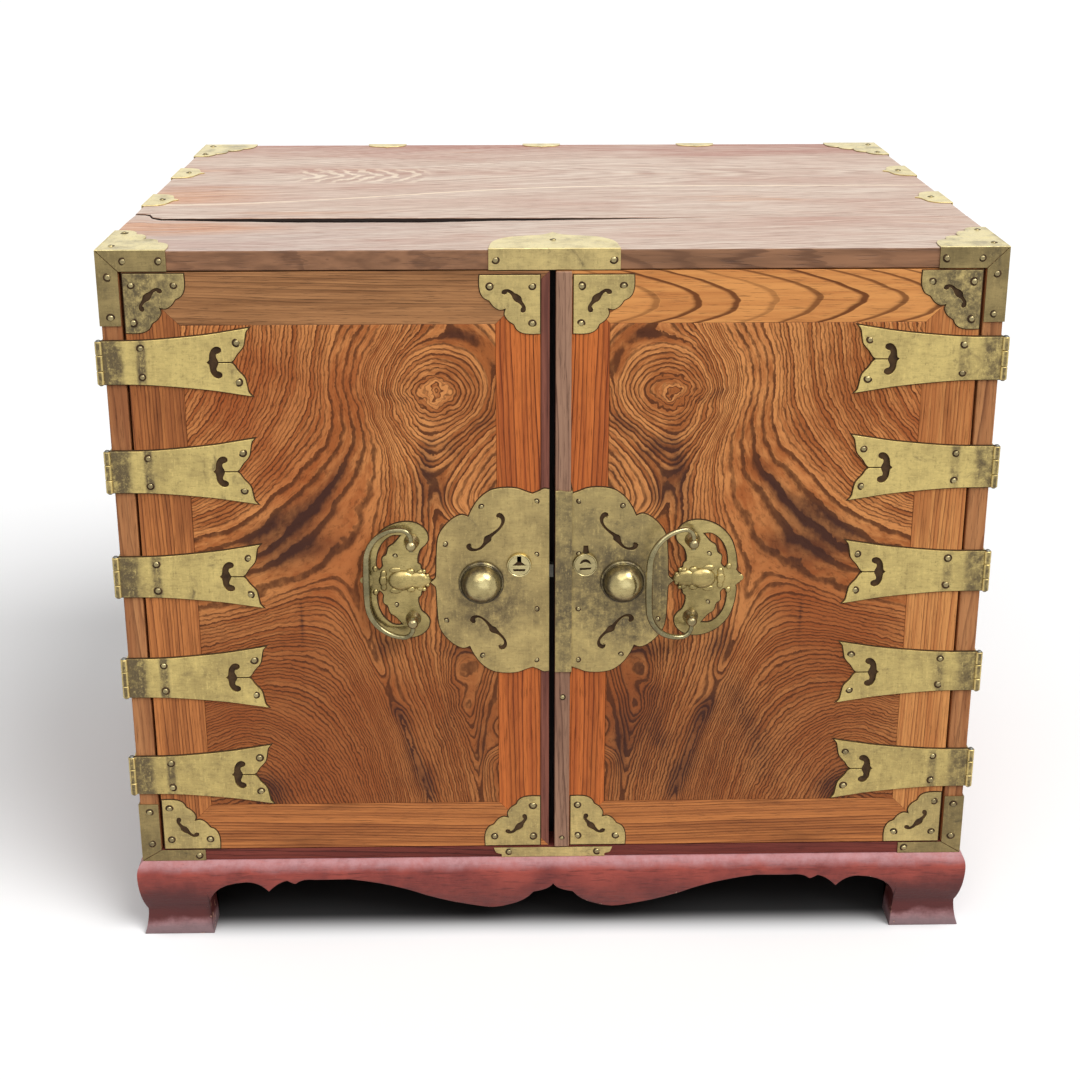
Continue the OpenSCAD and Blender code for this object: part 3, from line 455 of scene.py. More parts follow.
class Finish:
    def __init__(self, name, holder=None):
        self.material = holder or bpy.data.materials.new(name)
        self.material.use_nodes = True
        self.tree = self.material.node_tree
        self.tree.nodes.clear()

    def node(self, kind, settings, values, out=0):
        made = self.tree.nodes.new(kind)
        for key, value in settings.items():
            if key == "stops":
                curve = made.mapping.curves[0]
                while len(curve.points) < len(value):
                    curve.points.new(0.5, 0.5)
                for point, stop in zip(curve.points, value):
                    point.location = stop
                made.mapping.update()
            else:
                setattr(made, key, value)
        for key, value in values.items():
            if isinstance(value, Value):
                self.tree.links.new(value.socket, made.inputs[key])
            else:
                made.inputs[key].default_value = value
        return Value(self, made.outputs[out]) if made.outputs else None

    def place(self):
        """Where on the chest, in millimetres. It moves with the piece."""
        return self.node("ShaderNodeTexCoord", {}, {}, out="Object").times(1000, 1000, 1000)

    def vector(self, x, y, z):
        return self.node("ShaderNodeCombineXYZ", {}, {0: x, 1: y, 2: z})

    def carried(self, name, out="Fac"):
        """A value that the mesh carries at each of its points."""
        return self.node("ShaderNodeAttribute", {"attribute_name": name}, {}, out=out)

    def done(self, colour, roughness, height, depth, metallic=0.0, gleam=0.5):
        bump = self.node("ShaderNodeBump", {}, {"Strength": 1.0, "Distance": depth * MM, "Height": height})
        surface = self.node("ShaderNodeBsdfPrincipled", {}, {
            "Base Color": colour, "Roughness": roughness, "Metallic": metallic, "Normal": bump,
            "Specular IOR Level": gleam})
        self.node("ShaderNodeOutputMaterial", {}, {"Surface": surface})
        print("finish:", self.material.name, len(self.tree.nodes), "nodes")
        return self.material


# %% [markdown]
# ### Straight-grained elm
# A log is a stack of cones, one for each year. A board shows them as lines, because the place of each
# point in the log gives its distance from the log's middle, and that distance gives its ring. Early
# wood is pale and open, late wood is a thin dark line. So one finish dresses every plain board, and
# its lines run along each board and end in arcs on the board's ends, as real ones do.
# Boards that have been handled are rubbed pale. A lipping is a dark strip glued along an edge, here
# along the edges at which the doors meet.

# %% Elm
def elm(name, light, middle, dark, ring=2.4, lines=0.8, wander=9.0, taper=0.02, wear=0.0, gloss=0.45,
        crisp=0.0, lipping=None):
    f = Finish(name)
    log = f.carried("log", "Vector")
    along, across, deep = log.axes()
    slow = log.times(0.0035, 0.02, 0.02)
    radius = across.reach(deep) + along * taper
    radius = radius + slow.noise(1, 2) * wander + log.times(0.02, 0.16, 0.16).noise(1, 2) * 1.6
    years = radius / ring
    year = years.floor().chance()
    late = years.fract().ramp((0, 0.25), (0.15, 0.0), (0.5, 0.15), (0.8, 0.75), (0.92, 1.0), (1, 0.3))
    late = late.ease(crisp, 1) * (year * 0.5 + 0.5) * lines if crisp else late * (year * 0.75 + 0.25) * lines
    pores = log.times(0.05, 1.1, 1.1).noise(1, 3, 0.65).ease(0.04, 0.24)
    dashes = log.times(0.03, 0.5, 0.5).noise(1, 3, 0.7).ease(0.1, 0.24)
    strands = log.times(0.01, 0.26, 0.26).noise(1, 3, 0.6)
    tone = (slow.noise(0.8, 3) * 2.2 + strands * 1.7 + 0.5 + (year - 0.5) * 0.4).ease(0, 1)
    patch = log.times(0.012, 0.05, 0.05).noise(1, 3).ease(0.04, 0.35)
    colour = tone.blend(srgb(*light), srgb(*middle))
    colour = colour.painted((late * 0.85).ease(0, 1), *dark)
    colour = colour.painted(pores * 0.45 + dashes * 0.38, *[c * 0.8 for c in dark])
    colour = colour.painted(patch * 0.5, *[c * 0.75 for c in dark])
    if wear:
        rubbed = (log.times(0.01, 0.09, 0.09).noise(1, 4, 0.65) + wear).ease(0, 0.5)
        colour = colour.painted(rubbed * 0.75, 176, 150, 132)
    if lipping:
        out = f.place().axes()[0].size()
        band = (strands * 2.2 + 0.5).ease(0, 1).blend(srgb(142, 88, 72), srgb(100, 60, 52))
        colour = (1 - out.ease(lipping - 0.3, lipping)).blend(colour, band)
        seam = 1 - (out - lipping).size().ease(0.2, 0.7)
        colour = colour.painted(seam * 0.8, 62, 30, 24)
    roughness = pores * 0.2 + gloss + late * 0.1
    return f.done(colour, roughness, late * -0.4 - pores, 0.25, gleam=0.14)


golden_elm = elm("golden_elm", (202, 128, 72), (154, 92, 52), (88, 46, 28), lines=0.9)
amber_elm = elm("amber_elm", (208, 116, 58), (158, 80, 42), (84, 38, 24), ring=3.0, lines=1.1, lipping=9.6)
pale_elm = elm("pale_elm", (218, 150, 88), (184, 114, 64), (104, 56, 32))
brown_elm = elm("brown_elm", (178, 126, 82), (130, 87, 54), (80, 52, 34), ring=2.0)
bold_elm = elm("bold_elm", (226, 156, 90), (196, 126, 70), (104, 58, 30), ring=6.2, taper=-0.22, wander=13,
               lines=1.05, crisp=0.45)
case_elm = elm("case_elm", (188, 130, 84), (152, 96, 60), (84, 46, 32), wear=-0.2)
edge_elm = elm("edge_elm", (126, 62, 52), (104, 48, 42), (60, 30, 28), wear=-0.22)
strip_elm = elm("strip_elm", (168, 130, 106), (142, 106, 86), (90, 62, 52), wear=-0.14, gloss=0.55)
inner_pine = elm("inner_pine", (214, 178, 124), (196, 154, 102), (150, 104, 62), ring=3.4, gloss=0.6)
drawer_elm = elm("drawer_elm", (186, 112, 62), (156, 88, 48), (92, 48, 30), ring=4.5, taper=0.06, wander=14)

# %% [markdown]
# ### The figured panels
# The two panels are a book-matched pair from a burred board: a knot near the top, a broad stream of
# wide rings that sweeps outwards, arcs round a second knot at the bottom. No formula gives that, so
# the grain is traced: each line below is one year's ring, with the ring's number and the points that
# it passes, from the meeting edge outwards and from the bottom of the case upwards.
# The ring number at any other point comes from the lines near it, and the mesh carries it there.

# %% Grain lines
GRAIN_LINES = [
    (0, [(82.3, 383.3)]),
    (4, [(94.3, 383.3), (82.3, 390.8), (69.7, 383.3), (82.3, 375.3)]),
    (8, [(105.5, 383.3), (96.9, 394), (82.3, 400.1), (67.6, 395.3), (58.3, 384.1), (67.6, 371.3),
         (83.1, 364.7), (96.9, 371.3)]),
    (12, [(112.9, 385.2), (102.3, 402), (82.3, 410.8), (61.7, 403.9), (50.3, 385.2), (58.3, 367.3),
          (72.9, 356.7), (86.3, 346.8), (99.6, 359.3)]),
    (16, [(120.4, 382), (112.9, 403.3), (95.6, 419.3), (72.9, 423.3), (51.6, 414), (41.5, 390),
          (43.1, 369.2), (64.9, 352.7), (86.3, 331.3), (101.7, 350), (115.6, 367.3)]),
    (20, [(126.3, 382), (121.5, 401.2), (108.9, 418), (95.6, 430), (36.9, 384.7), (36.9, 363.9),
          (58.3, 344.7), (75.6, 324.7), (86.3, 304.7), (96.4, 326), (111.6, 351.3), (122.3, 367.3)]),
    (25, [(130, 380.4), (126.3, 406), (115.6, 422), (109.7, 430), (125.7, 363.3), (112.9, 343.3),
          (105.5, 320.7), (103.6, 294), (105.5, 262), (36.9, 347.3), (50.3, 328.7), (64.9, 299.3)]),
    (33, [(115.6, 430), (128.9, 406), (133.7, 390), (122.3, 355.3), (118.3, 331.3), (121.5, 304.7),
          (128.9, 278), (138.3, 256.7), (144.9, 240.7)]),
    (34.3, [(119.6, 430), (131.6, 408.7), (136.4, 390), (126.3, 355.3), (123.1, 336.7), (127.6, 310),
            (139.6, 280.7), (154.3, 256.7), (171.6, 243.3), (192.9, 234), (214.3, 222), (238.3, 216.7),
            (259.6, 212.7)]),
    (36, [(127.6, 430), (138.3, 408.7), (142.3, 390), (133.7, 358), (132.1, 339.3), (139.6, 318),
          (154.3, 294), (174.3, 268.7), (195.6, 254), (214.3, 243.3), (235.6, 235.3), (259.6, 230)]),
    (38, [(134.3, 430), (144.9, 408.7), (148.4, 390), (140.4, 363.3), (139.6, 344.7), (150.3, 323.3),
          (166.3, 302), (184.9, 280.7), (212.9, 259.3), (232.9, 251.3), (259.6, 244.7)]),
    (40, [(142.3, 430), (152.1, 410), (154.3, 390), (148.9, 363.3), (150.3, 346), (162.3, 328.7),
          (180.9, 310), (198.3, 294), (213.7, 278), (232.9, 267.3), (259.6, 259.3)]),
    (42, [(150.3, 430), (158.3, 408.7), (159.1, 387.3), (156.9, 363.3), (160.4, 350), (174.3, 332.7),
          (192.9, 314), (212.9, 295.3), (232.9, 282), (259.6, 272.7)]),
    (47, [(162.3, 430), (168.9, 403.3), (168.9, 382), (172.9, 364.7), (186.3, 344.7), (202.3, 324.7),
          (213.7, 312.7), (232.9, 296.7), (259.6, 286)]),
    (55, [(182.3, 430), (184.9, 403.3), (188.1, 382), (198.3, 363.3), (208.9, 347.3), (214.3, 339.3),
          (227.6, 323.3), (259.6, 302)]),
    (63, [(202.3, 430), (204.9, 406), (210.3, 382), (214.3, 371.3), (227.6, 350), (246.3, 331.3),
          (259.6, 320.7)]),
    (71, [(219.6, 430), (223.6, 406), (230.3, 382), (238.3, 363.3), (259.6, 342)]),
    (79, [(238.3, 430), (242.3, 406), (248.9, 387.3), (259.6, 368.7)]),
    (31, [(259.6, 203.3), (214.3, 212.7), (192.9, 223.3), (174.3, 228.7), (158.3, 226), (148.9, 214),
          (139.6, 190), (127.6, 155.3), (118.3, 126)]),
    (25, [(259.6, 187.3), (214.3, 200.7), (187.6, 207.3), (166.3, 207.3), (152.9, 195.3),
          (142.3, 171.3), (128.9, 136.7), (115.6, 96.7), (105.5, 51.3)]),
    (15, [(259.6, 163.3), (212.9, 179.3), (187.6, 180.7), (168.9, 178), (154.3, 163.3), (142.3, 136.7),
          (128.9, 102), (118.3, 51.3)]),
    (5, [(259.6, 139.3), (214.3, 152.7), (192.9, 151.3), (174.3, 142), (158.3, 123.3), (144.9, 96.7),
         (134.3, 51.3)]),
    (-5, [(259.6, 120.7), (240.9, 131.3), (214.3, 128.7), (192.9, 118), (176.9, 102), (160.9, 78),
          (150.3, 51.3)]),
    (-14, [(259.6, 99.3), (235.6, 112.7), (211.6, 108.7), (192.9, 91.3), (179.6, 70), (171.6, 51.3)]),
    (-22, [(251.6, 86), (232.9, 96.7), (219.6, 92.7), (206.3, 83.3), (195.6, 64.7), (191.6, 51.3)]),
    (-32, [(219.6, 62)]),
    (33.5, [(147.1, 234), (143.6, 214), (136.4, 190), (126.3, 160.7)]),
    (34.5, [(114.3, 126), (103.6, 91.3), (92.9, 51.3)]),
    (28, [(112.9, 331.3), (111.6, 304.7), (112.9, 278), (115.6, 243.3), (120.9, 214), (122.3, 187.3),
          (112.9, 155.3), (100.1, 123.3), (88.9, 88.7), (80.9, 51.3)]),
    (22, [(100.9, 331.3), (98.3, 304.7), (98.3, 278), (100.9, 243.3), (105.5, 214), (107.1, 187.3),
          (100.1, 155.3), (89.5, 123.3), (78.3, 88.7), (70.8, 51.3)]),
    (15, [(88.9, 235.3), (90.3, 214), (90.3, 187.3), (85.7, 163.3), (80.4, 134), (72.9, 110),
          (64.9, 80.7), (60.9, 51.3)]),
    ((19, 18.5, 18, 14, 9, 4), [(86.3, 304.7), (84.7, 286), (82.3, 267.3), (76.9, 230), (70.3, 187.3),
                                (66, 160)]),
    ((4, 7, 10, 12), [(63, 134), (60.9, 118), (56.9, 83.3), (52.9, 51.3)]),
    (6, [(73.5, 152.7), (69.7, 171.3), (58.3, 171.3), (55.6, 152.7), (68.1, 128.7)]),
    (12, [(36.9, 152.7), (43.6, 126), (47.6, 96.7)]), (15, [(36.9, 115.3)]),
    (19, [(36.9, 51.3), (39.6, 83.3)]), (20, [(36.9, 187.3), (43.6, 214)]), (27, [(36.9, 230)]),
    (32, [(36.9, 283.3)]), (29, [(36.9, 320.7), (48.9, 304.7)]), (9, [(55.6, 187.3)]),
]


def ring_number(u, v):
    """The ring number and the rings per millimetre, from a plane fitted to the lines round each point."""
    known = []
    for number, line in GRAIN_LINES:
        numbers = number if isinstance(number, tuple) else [number] * len(line)
        stops = [(*p, n) for p, n in zip(line, numbers)]
        for a, b in zip(stops, stops[1:] + stops[-1:]):
            far = math.dist(a[:2], b[:2])
            steps = max(1, round(far / 6)) if far < 70 else 1
            known += [[a[i] + (b[i] - a[i]) * k / steps for i in range(3)] for k in range(steps)]
    known = np.array(known)
    du, dv = known[:, 0] - u[:, None], known[:, 1] - v[:, None]
    weight = 1 / (du * du + dv * dv + 60) ** 2.2
    total = weight.sum(1)
    mu, mv, mn = [(weight * q).sum(1) / total for q in (du, dv, known[:, 2])]
    cu, cv, cn = du - mu[:, None], dv - mv[:, None], known[:, 2] - mn[:, None]
    uu, uv, vv, un, vn = [(weight * q).sum(1) / total for q in (cu * cu, cu * cv, cv * cv, cu * cn, cv * cn)]
    uu, vv = uu + 2, vv + 2
    spread = uu * vv - uv * uv
    slope_u, slope_v = (un * vv - vn * uv) / spread, (vn * uu - un * uv) / spread
    number = mn - mu * slope_u - mv * slope_v
    pace = np.clip(np.hypot(slope_u, slope_v), 0.05, 0.5) * np.where((number > 33) & (number < 43), 0.55, 0.85)
    return number * 0.85 - 0.3 * np.clip(number - 33, 0, 10), pace


# %% [markdown]
# Dark patches follow the rings. Each is a soft oval with a place, two half sizes, a turn and a
# strength, and the finish lets the ring lines grow thick inside it. A negative strength is a pale one.

# %% Dark patches of the panel
DARK_PATCHES = [
    (166, 303, 36, 7, -48, 0.7), (196, 284, 28, 7, -31, 0.7), (176, 262, 26, 8, -12, 0.5),
    (188, 280, 46, 24, -38, 0.3), (150, 332, 28, 6, -62, 0.45), (226, 262, 26, 8, -20, 0.3),
    (89, 330, 6, 18, 8, 0.6), (78, 306, 11, 18, 0, 0.6), (72, 340, 16, 8, 25, 0.55),
    (52, 357, 18, 5, -34, 0.6), (64, 426, 20, 7, 0, 0.6), (118, 382, 10, 4, 16, 0.6),
    (104, 376, 5, 3, -30, 0.5), (104, 90, 38, 6, 74, 0.7), (115.6, 128, 14, 7, 60, 0.7),
    (92, 62, 20, 5, 80, 0.5), (217, 59, 16, 13, 0, 0.8), (65, 178, 26, 8, 0, 0.5),
    (123, 181, 12, 9, 20, 0.5), (236, 70, 20, 16, 0, 0.4), (51, 96, 6, 32, 0, 0.5),
    (185, 203, 1.0, 17, 0, 1.0), (184, 175, 0.9, 12, 3, 0.5), (122, 212, 8, 30, 8, 0.4),
    (95, 290, 5, 34, 4, 0.4), (44, 300, 7, 40, 0, 0.45), (62, 250, 8, 40, 4, 0.35),
    (80, 110, 8, 40, 10, 0.3), (148, 398, 7, 40, 4, -0.5), (113, 300, 8, 34, 0, -0.4),
    (84, 383, 14, 14, 0, -0.25), (205, 350, 40, 50, 30, -0.2), (142, 225, 10, 16, 0, -0.2),
    (205, 205, 30, 20, 0, -0.25), (225, 140, 30, 30, 0, -0.15), (192, 262, 50, 34, -22, 0.5),
    (110, 66, 30, 26, 0, 0.3), (215, 70, 40, 26, 0, 0.3), (60, 130, 20, 60, 0, 0.2),
    (100, 300, 22, 60, 0, 0.2),
]
RIGHT_PATCHES = [
    (70, 330, 40, 50, 0, 0.22), (110, 130, 80, 90, 0, 0.34), (150, 110, 10, 50, 20, 0.4),
    (60, 100, 20, 40, 0, 0.25),
]


def patch_strength(u, v, side):
    dark = np.zeros(len(u))
    for u0, v0, ru, rv, angle, strength in DARK_PATCHES + (RIGHT_PATCHES if side == "right" else []):
        c, s = math.cos(math.radians(angle)), math.sin(math.radians(angle))
        a, b = ((u - u0) * c + (v - v0) * s) / ru, ((v - v0) * c - (u - u0) * s) / rv
        dark += strength * np.exp(-a * a - b * b)
    return dark


# %% [markdown]
# The finish draws a dark line at the end of each ring. Wide rings get broad lines and narrow ones get
# fine lines, because the line is a share of its ring. Noise bends the lines a little and breaks them.
# The bends are given in millimetres, and the rings per millimetre turn them into rings, so that wide
# rings don't come out jagged. The heart of each upper knot is stirred more than the rest.

# %% Figured elm
def figured():
    f = Finish("figured_elm")
    rings, pace, shade, at = f.carried("rings"), f.carried("pace"), f.carried("shade"), f.place()
    x, y, z = at.axes()
    strands = f.vector(rings * 2.1, x * 0.07, z * 0.07).noise(1, 3, 0.65)
    pores = f.vector(rings * 5.5, x * 0.16, z * 0.16).noise(1, 3, 0.7)
    sway = at.times(1, 1, 0.4).noise(0.25, 3, 0.6) * 2.0 + at.times(1, 1, 0.6).noise(0.75, 2, 0.7) * 0.9
    years = rings + at.noise(0.04, 2) * 0.9 + (sway + at.noise(0.11, 2, 0.6) * 4.5) * pace
    side = x.size() - 84.5
    knot = 1 - side.reach(z - 448).ease(4, 22)
    years = years + knot * at.noise(0.11, 2, 0.5) * 5
    year = years.floor().chance()
    shade = shade + at.noise(0.05, 3, 0.6) * 0.6 + at.noise(0.014, 2) * 0.5
    shade = shade.most(-0.5)
    late = years.fract().ramp((0, 0.4), (0.1, 0.05), (0.4, 0.08), (0.6, 0.4),
                              (0.8, 1.0), (0.93, 0.95), (1, 0.4))
    late = (late + shade * 0.4 - 0.06) * (year * 0.4 + 0.62)
    late = late * (at.times(1, 1, 0.4).noise(0.35, 2) * 0.9 + strands * 0.9 + 1)
    pores = pores.ease(0.0, 0.22)
    tone = (at.noise(0.02, 3) * 1.6 + strands * 1.8 + 0.5 + (year - 0.5) * 0.8).ease(0, 1)
    colour = tone.blend(srgb(220, 147, 86), srgb(166, 96, 50))
    colour = colour.painted((at.noise(0.008, 2) * 2.0 + 0.25).ease(0, 1), 164, 84, 42)
    low = (1 - (z + at.noise(0.01, 2) * 160).ease(170, 390)) * 0.55
    colour = colour.painted(low, 140, 80, 44)
    colour = colour.painted(late.ease(0.06, 0.9) * 0.84, 80, 44, 26)
    colour = colour.painted(shade.ease(0.1, 1.1) * (late.ease(0, 0.8) * 0.42 + 0.42), 60, 36, 32)
    colour = colour.painted(pores * 0.42, 66, 36, 22)
    return f.done(colour, pores * 0.2 + 0.38 + late.ease(0, 1) * 0.1,
                  late * -0.35 - pores * 0.8, 0.2, gleam=0.12)


figured_elm = figured()

# %% [markdown]
# ### The top
# The top's face is a pinkish grey, and its front edge is brown.
# A mark that the boards carry at each of their points tells the face from the edges.

# %% Pale top
def pale_top():
    f = Finish("pale_top_elm")
    at = f.place()
    x, y, z = at.axes()
    log, faded = f.carried("log", "Vector"), f.carried("faded")
    along, across, deep = log.axes()
    drift = y - x.ease(-300, 60) * 75
    streak = f.vector(x * 0.006, drift * 0.09, z * 0.09)
    radius = across.reach(deep) + along * 0.12
    years = (radius + streak.noise(1, 3) * 14) / 5.5
    year = years.floor().chance()
    late = years.fract().ramp((0, 0.3), (0.2, 0), (0.6, 0.25), (0.88, 1), (1, 0.3)) * (year * 0.7 + 0.3)
    slow = log.times(0.004, 0.02, 0.02).noise(1, 3)
    top = (streak.noise(1.6, 4, 0.6) * 2.4 + 0.5).ease(0, 1).blend(srgb(224, 206, 190), srgb(202, 176, 160))
    top = top.painted((slow * 2.6 + 0.2).ease(0, 1), 196, 160, 144)
    behind = (y + slow * 170).ease(120, 250)
    top = top.painted(behind * (streak.noise(2.4, 3).ease(-0.3, 0.3) * 0.6 + 0.4), 170, 112, 102)
    grey_corner = (1 - (x + slow * 200).ease(-240, 20)) * (1 - y.ease(-130, -90))
    top = top.painted(grey_corner * 0.28, 190, 180, 178)
    front = ((1 - (y + 140 + streak.noise(2, 3) * 50).size().ease(6, 34))
             * (1 - (x + slow * 90).ease(-262, -150)))
    crack = ((1 - (y + 20 + streak.noise(2, 3) * 60).size().ease(10, 44))
             * (1 - (x + slow * 90).ease(-290, -190)))
    blush = front.most(crack * 0.8)
    top = top.painted(blush * 0.75, 216, 158, 118)
    flame = log.times(0.02, 0.22, 0.22).noise(1, 4, 0.7, 1.2)
    top = top.painted(flame.ease(0.0, 0.22) * (blush * 0.4 + behind * 0.35 + 0.36), 158, 98, 80)
    top = top.painted((flame * -1).ease(0.04, 0.26) * 0.45, 240, 224, 208)
    top = top.painted(log.times(0.005, 0.04, 0.04).noise(1, 3, 0.6).ease(0.1, 0.3) * 0.6, 206, 150, 112)
    top = top.painted(late * 0.4, 160, 122, 108)
    early = years.fract().ease(0.1, 0.4) * (1 - years.fract().ease(0.4, 0.7))
    top = top.painted(early * 0.4 * year, 240, 226, 208)
    fine = f.vector(x * 0.02, drift * 0.5, z * 0.5).noise(1, 3, 0.7)
    top = top.painted(fine.ease(0.03, 0.24) * 0.6, 148, 114, 104)
    top = top.painted((fine * -1).ease(0.06, 0.26) * 0.4, 242, 228, 212)
    wavy = at.noise(0.05, 3, 0.6)
    tips = (x + (y - 74).size() * 0.62 + wavy * 34 + fine * 10 + 190) / 17
    figure = (x + wavy * 40).ease(-222, -196) * (1 - x.ease(-112, -96)) * (1 - (y - 74).size().ease(16, 44))
    tip = tips.fract().ramp((0, 0), (0.45, 0.1), (0.7, 0.9), (0.85, 1), (1, 0))
    figure = figure * (fine * 1.6 + 0.75).ease(0, 1)
    top = top.painted(figure * (tip * 1.4 - 0.4).ease(0, 1) * 0.68, 248, 232, 208)
    top = top.painted(figure * (1 - tip).ease(0.3, 1) * 0.42, 172, 128, 114)
    pale = 1 - (drift + 55 + wavy * 5).size().ease(0.8, 3.6)
    top = top.painted((pale * (streak.noise(3, 2) + 0.7)).ease(0, 1), 246, 228, 204)
    edge = (streak.noise(2, 3) * 2 + 0.5).ease(0, 1).blend(srgb(158, 114, 84), srgb(126, 90, 66))
    edge = edge.painted(late * 0.6, 84, 56, 42)
    pores = log.times(0.05, 1.1, 1.1).noise(1, 2, 0.6).ease(0.06, 0.28)
    colour = (pores * 0.35).blend(faded.ease(0.1, 0.9).blend(edge, top), srgb(104, 76, 64))
    # Painted shade: the walls of the crack between the boards are coloured nearly black.
    colour = colour.painted((faded * -1).ease(0.0, 0.5), 34, 24, 20)
    return f.done(colour, faded.ease(0, 1) * 0.2 + 0.42 + pores * 0.15, late * -0.5 - pores, 0.35, gleam=0.2)


pale_top_elm = pale_top()

# %% [markdown]
# ### Red lacquer
# The stand is lacquered dark red. It is pinkish grey on the rounding under the case, the lacquer has
# rubbed through where feet reach it at the floor, and it has chipped here and there.

# %% Lacquer
def lacquer():
    f = Finish("red_lacquer")
    at = f.place()
    x, y, z = at.axes()
    cloud = (at.noise(0.03, 4, 0.6) * 2.2 + 0.5).ease(0, 1)
    rough = at.noise(0.05, 4, 0.65)
    colour = cloud.blend(srgb(168, 78, 66), srgb(124, 54, 50))
    feet = x.size().ease(232, 262) * (y - 8.5).size().ease(142, 172)
    lower = (1 - (z + rough * 24).ease(30, 56)) * (feet * 0.6 + 0.35)
    colour = colour.painted(lower, 80, 35, 34)
    grain = at.times(0.12, 0.12, 1).noise(0.5, 3, 0.65)
    colour = colour.painted(grain.ease(-0.02, 0.26) * 0.7, 82, 36, 36)
    # Paler on the rounding under the case, and rubbed at the floor.
    worn = (z + rough * 9).ease(54, 63).most(1 - (z + rough * 14).ease(6, 15))
    rubbed = (at.noise(0.12, 4, 0.7) * 1.4 + 0.6).ease(0.2, 0.9)
    colour = colour.painted(worn * (rubbed * 0.45 + 0.4), 188, 140, 142)
    low = 1 - (z + rough * 10).ease(4, 12)
    colour = colour.painted(low * 0.8, 118, 100, 102)
    chips = (at.noise(0.16, 3, 0.75) + f.carried("rim") * 0.14).ease(0.24, 0.28)
    colour = colour.painted(chips * 0.85, 214, 164, 140)
    specks = at.noise(0.6, 2, 0.6).ease(0.2, 0.32)
    colour = colour.painted(specks * 0.4, 60, 28, 28)
    height = at.noise(0.04, 3) * 1.5 + specks * -0.5 - chips - rubbed * 0.3 - grain * 0.8
    return f.done(colour, worn * 0.2 + 0.38 + specks * 0.1, height, 0.5, gleam=0.3)


red_lacquer = lacquer()

# %% [markdown]
# ### Brass
# Old brass is a mix of three states: rubbed and bright, olive where it has dulled, and brown where
# dirt has settled. Slow noise spreads the three, fine noise adds the hammer's and the rag's traces.
# Sheet brass is rubbed bright along its filed edges, and the same pale band is a painted highlight
# where the edges catch the light. The edges are found by their normals: there they lean away from all
# three axes. Each kind of piece has its own tone, and stains where it is touched. The knobs also carry
# a painted shade and a painted reflection, and the upper faces of the brass on the top a painted
# highlight.

# %% Brass and iron
def brass_finish(name, bright, dull, dirt_and_shade, polish=0.5, gloss=0.34, metal=0.9, stain_and_shade=None, pale=None,
                 rise=0.0, rubbed=True):
    f = Finish(name)

    def lit(share):
        return [min(255, c * share) for c in bright]

    at = f.place()
    slow = at.noise(0.022, 4, 0.6) * 2 + at.noise(0.1, 3) * 0.8
    state = (slow + polish + (at.axes()[2] - 300) * rise).ease(0, 1)
    colour = state.blend(srgb(*dull), srgb(*bright))
    stain_and_shade_mask = (at.noise(0.05, 4, 0.7, 0.6) - slow * 0.12).ease(0.03, 0.28) * 0.75
    if stain_and_shade:
        stain_and_shade_mask = stain_and_shade_mask.most(stain_and_shade(at) * (at.noise(0.14, 4, 0.75) * 3.2 + 0.9))
    colour = colour.painted(stain_and_shade_mask.ease(0, 1), *dirt_and_shade)
    rag = at.times(0.3, 1, 1.6).noise(0.5, 3, 0.7)
    colour = colour.painted(rag.ease(-0.1, 0.4) * 0.4, *dirt_and_shade)
    mottled = at.noise(0.22, 4, 0.75)
    colour = colour.painted(mottled.ease(0.02, 0.26) * 0.5, *[c * 0.8 for c in dull])
    colour = colour.painted((mottled * -1).ease(0.05, 0.3) * 0.5, *lit(1.1))
    # pale paints light: a painted reflection on the knobs and a painted highlight on upper faces.
    if pale:
        colour = colour.painted(pale(at), 240, 224, 164)
    pits = at.noise(1.1, 2, 0.6).ease(0.17, 0.27)
    colour = colour.painted(pits * 0.55, *[c * 0.6 for c in dirt_and_shade])
    if rubbed:
        facing = [way.size() for way in f.node("ShaderNodeTexCoord", {}, {}, out="Normal").axes()]
        flat = facing[0].most(facing[1]).most(facing[2])
        # Paler filed edges: partly rubbed bright, partly a painted highlight where they catch the light.
        colour = colour.painted((1 - flat.ease(0.8, 0.97)) * 0.6, *lit(1.14))
        scratches = at.times(0.5, 1, 0.05).noise(1, 3, 0.7, 0.6) * 0.55 + at.noise(0.4, 3, 0.75) * 0.65
        colour = colour.painted(scratches.ease(0.04, 0.24) * 0.5, *dirt_and_shade)
        colour = colour.painted((scratches * -1).ease(0.02, 0.2) * 0.45, *lit(1.1))
    roughness = stain_and_shade_mask * 0.18 + gloss + rag * 0.12 + pits * 0.2
    height = at.noise(0.09, 2) * 1.6 + rag * 0.3 - pits * 0.4
    return f.done(colour, roughness, height, 0.35, metallic=metal - stain_and_shade_mask * 0.35)


def strap_stain(at):
    """Straps are black by the hinge, and again in a band between the first two nails."""
    x = at.axes()[0]
    u = 322.9 - x.size()
    hinge, band = u.ease(-4, -1) * (1 - u.ease(11, 21)), u.ease(24, 28) * (1 - u.ease(31, 35))
    return (hinge + band * 0.75) * (1 - x.ease(-9, 9) * 0.3)


def left_plate_stain(at):
    return (1 - at.far_from(-50, -224, 286).ease(14, 50)) * 0.62


def corner_stain(at):
    """The mounts of the upper outer corners are the darkest, where rising damp and wax settled."""
    x, y, z = at.axes()
    out = x.size()
    return (out.ease(240, 285) * z.ease(470, 500) * 0.72).most(out.ease(320.9, 321.8) * 0.75)


def knob_painted_shade(at):
    """A knob is painted dark over its outer rim and its lower half, as shade and dark reflections."""
    x, y, z = at.axes()
    side = x.size() - 52.7
    far = side.reach(z - 300)
    return far.ease(9, 14) * 0.75 + (1 - z.ease(288, 301)) * 0.6


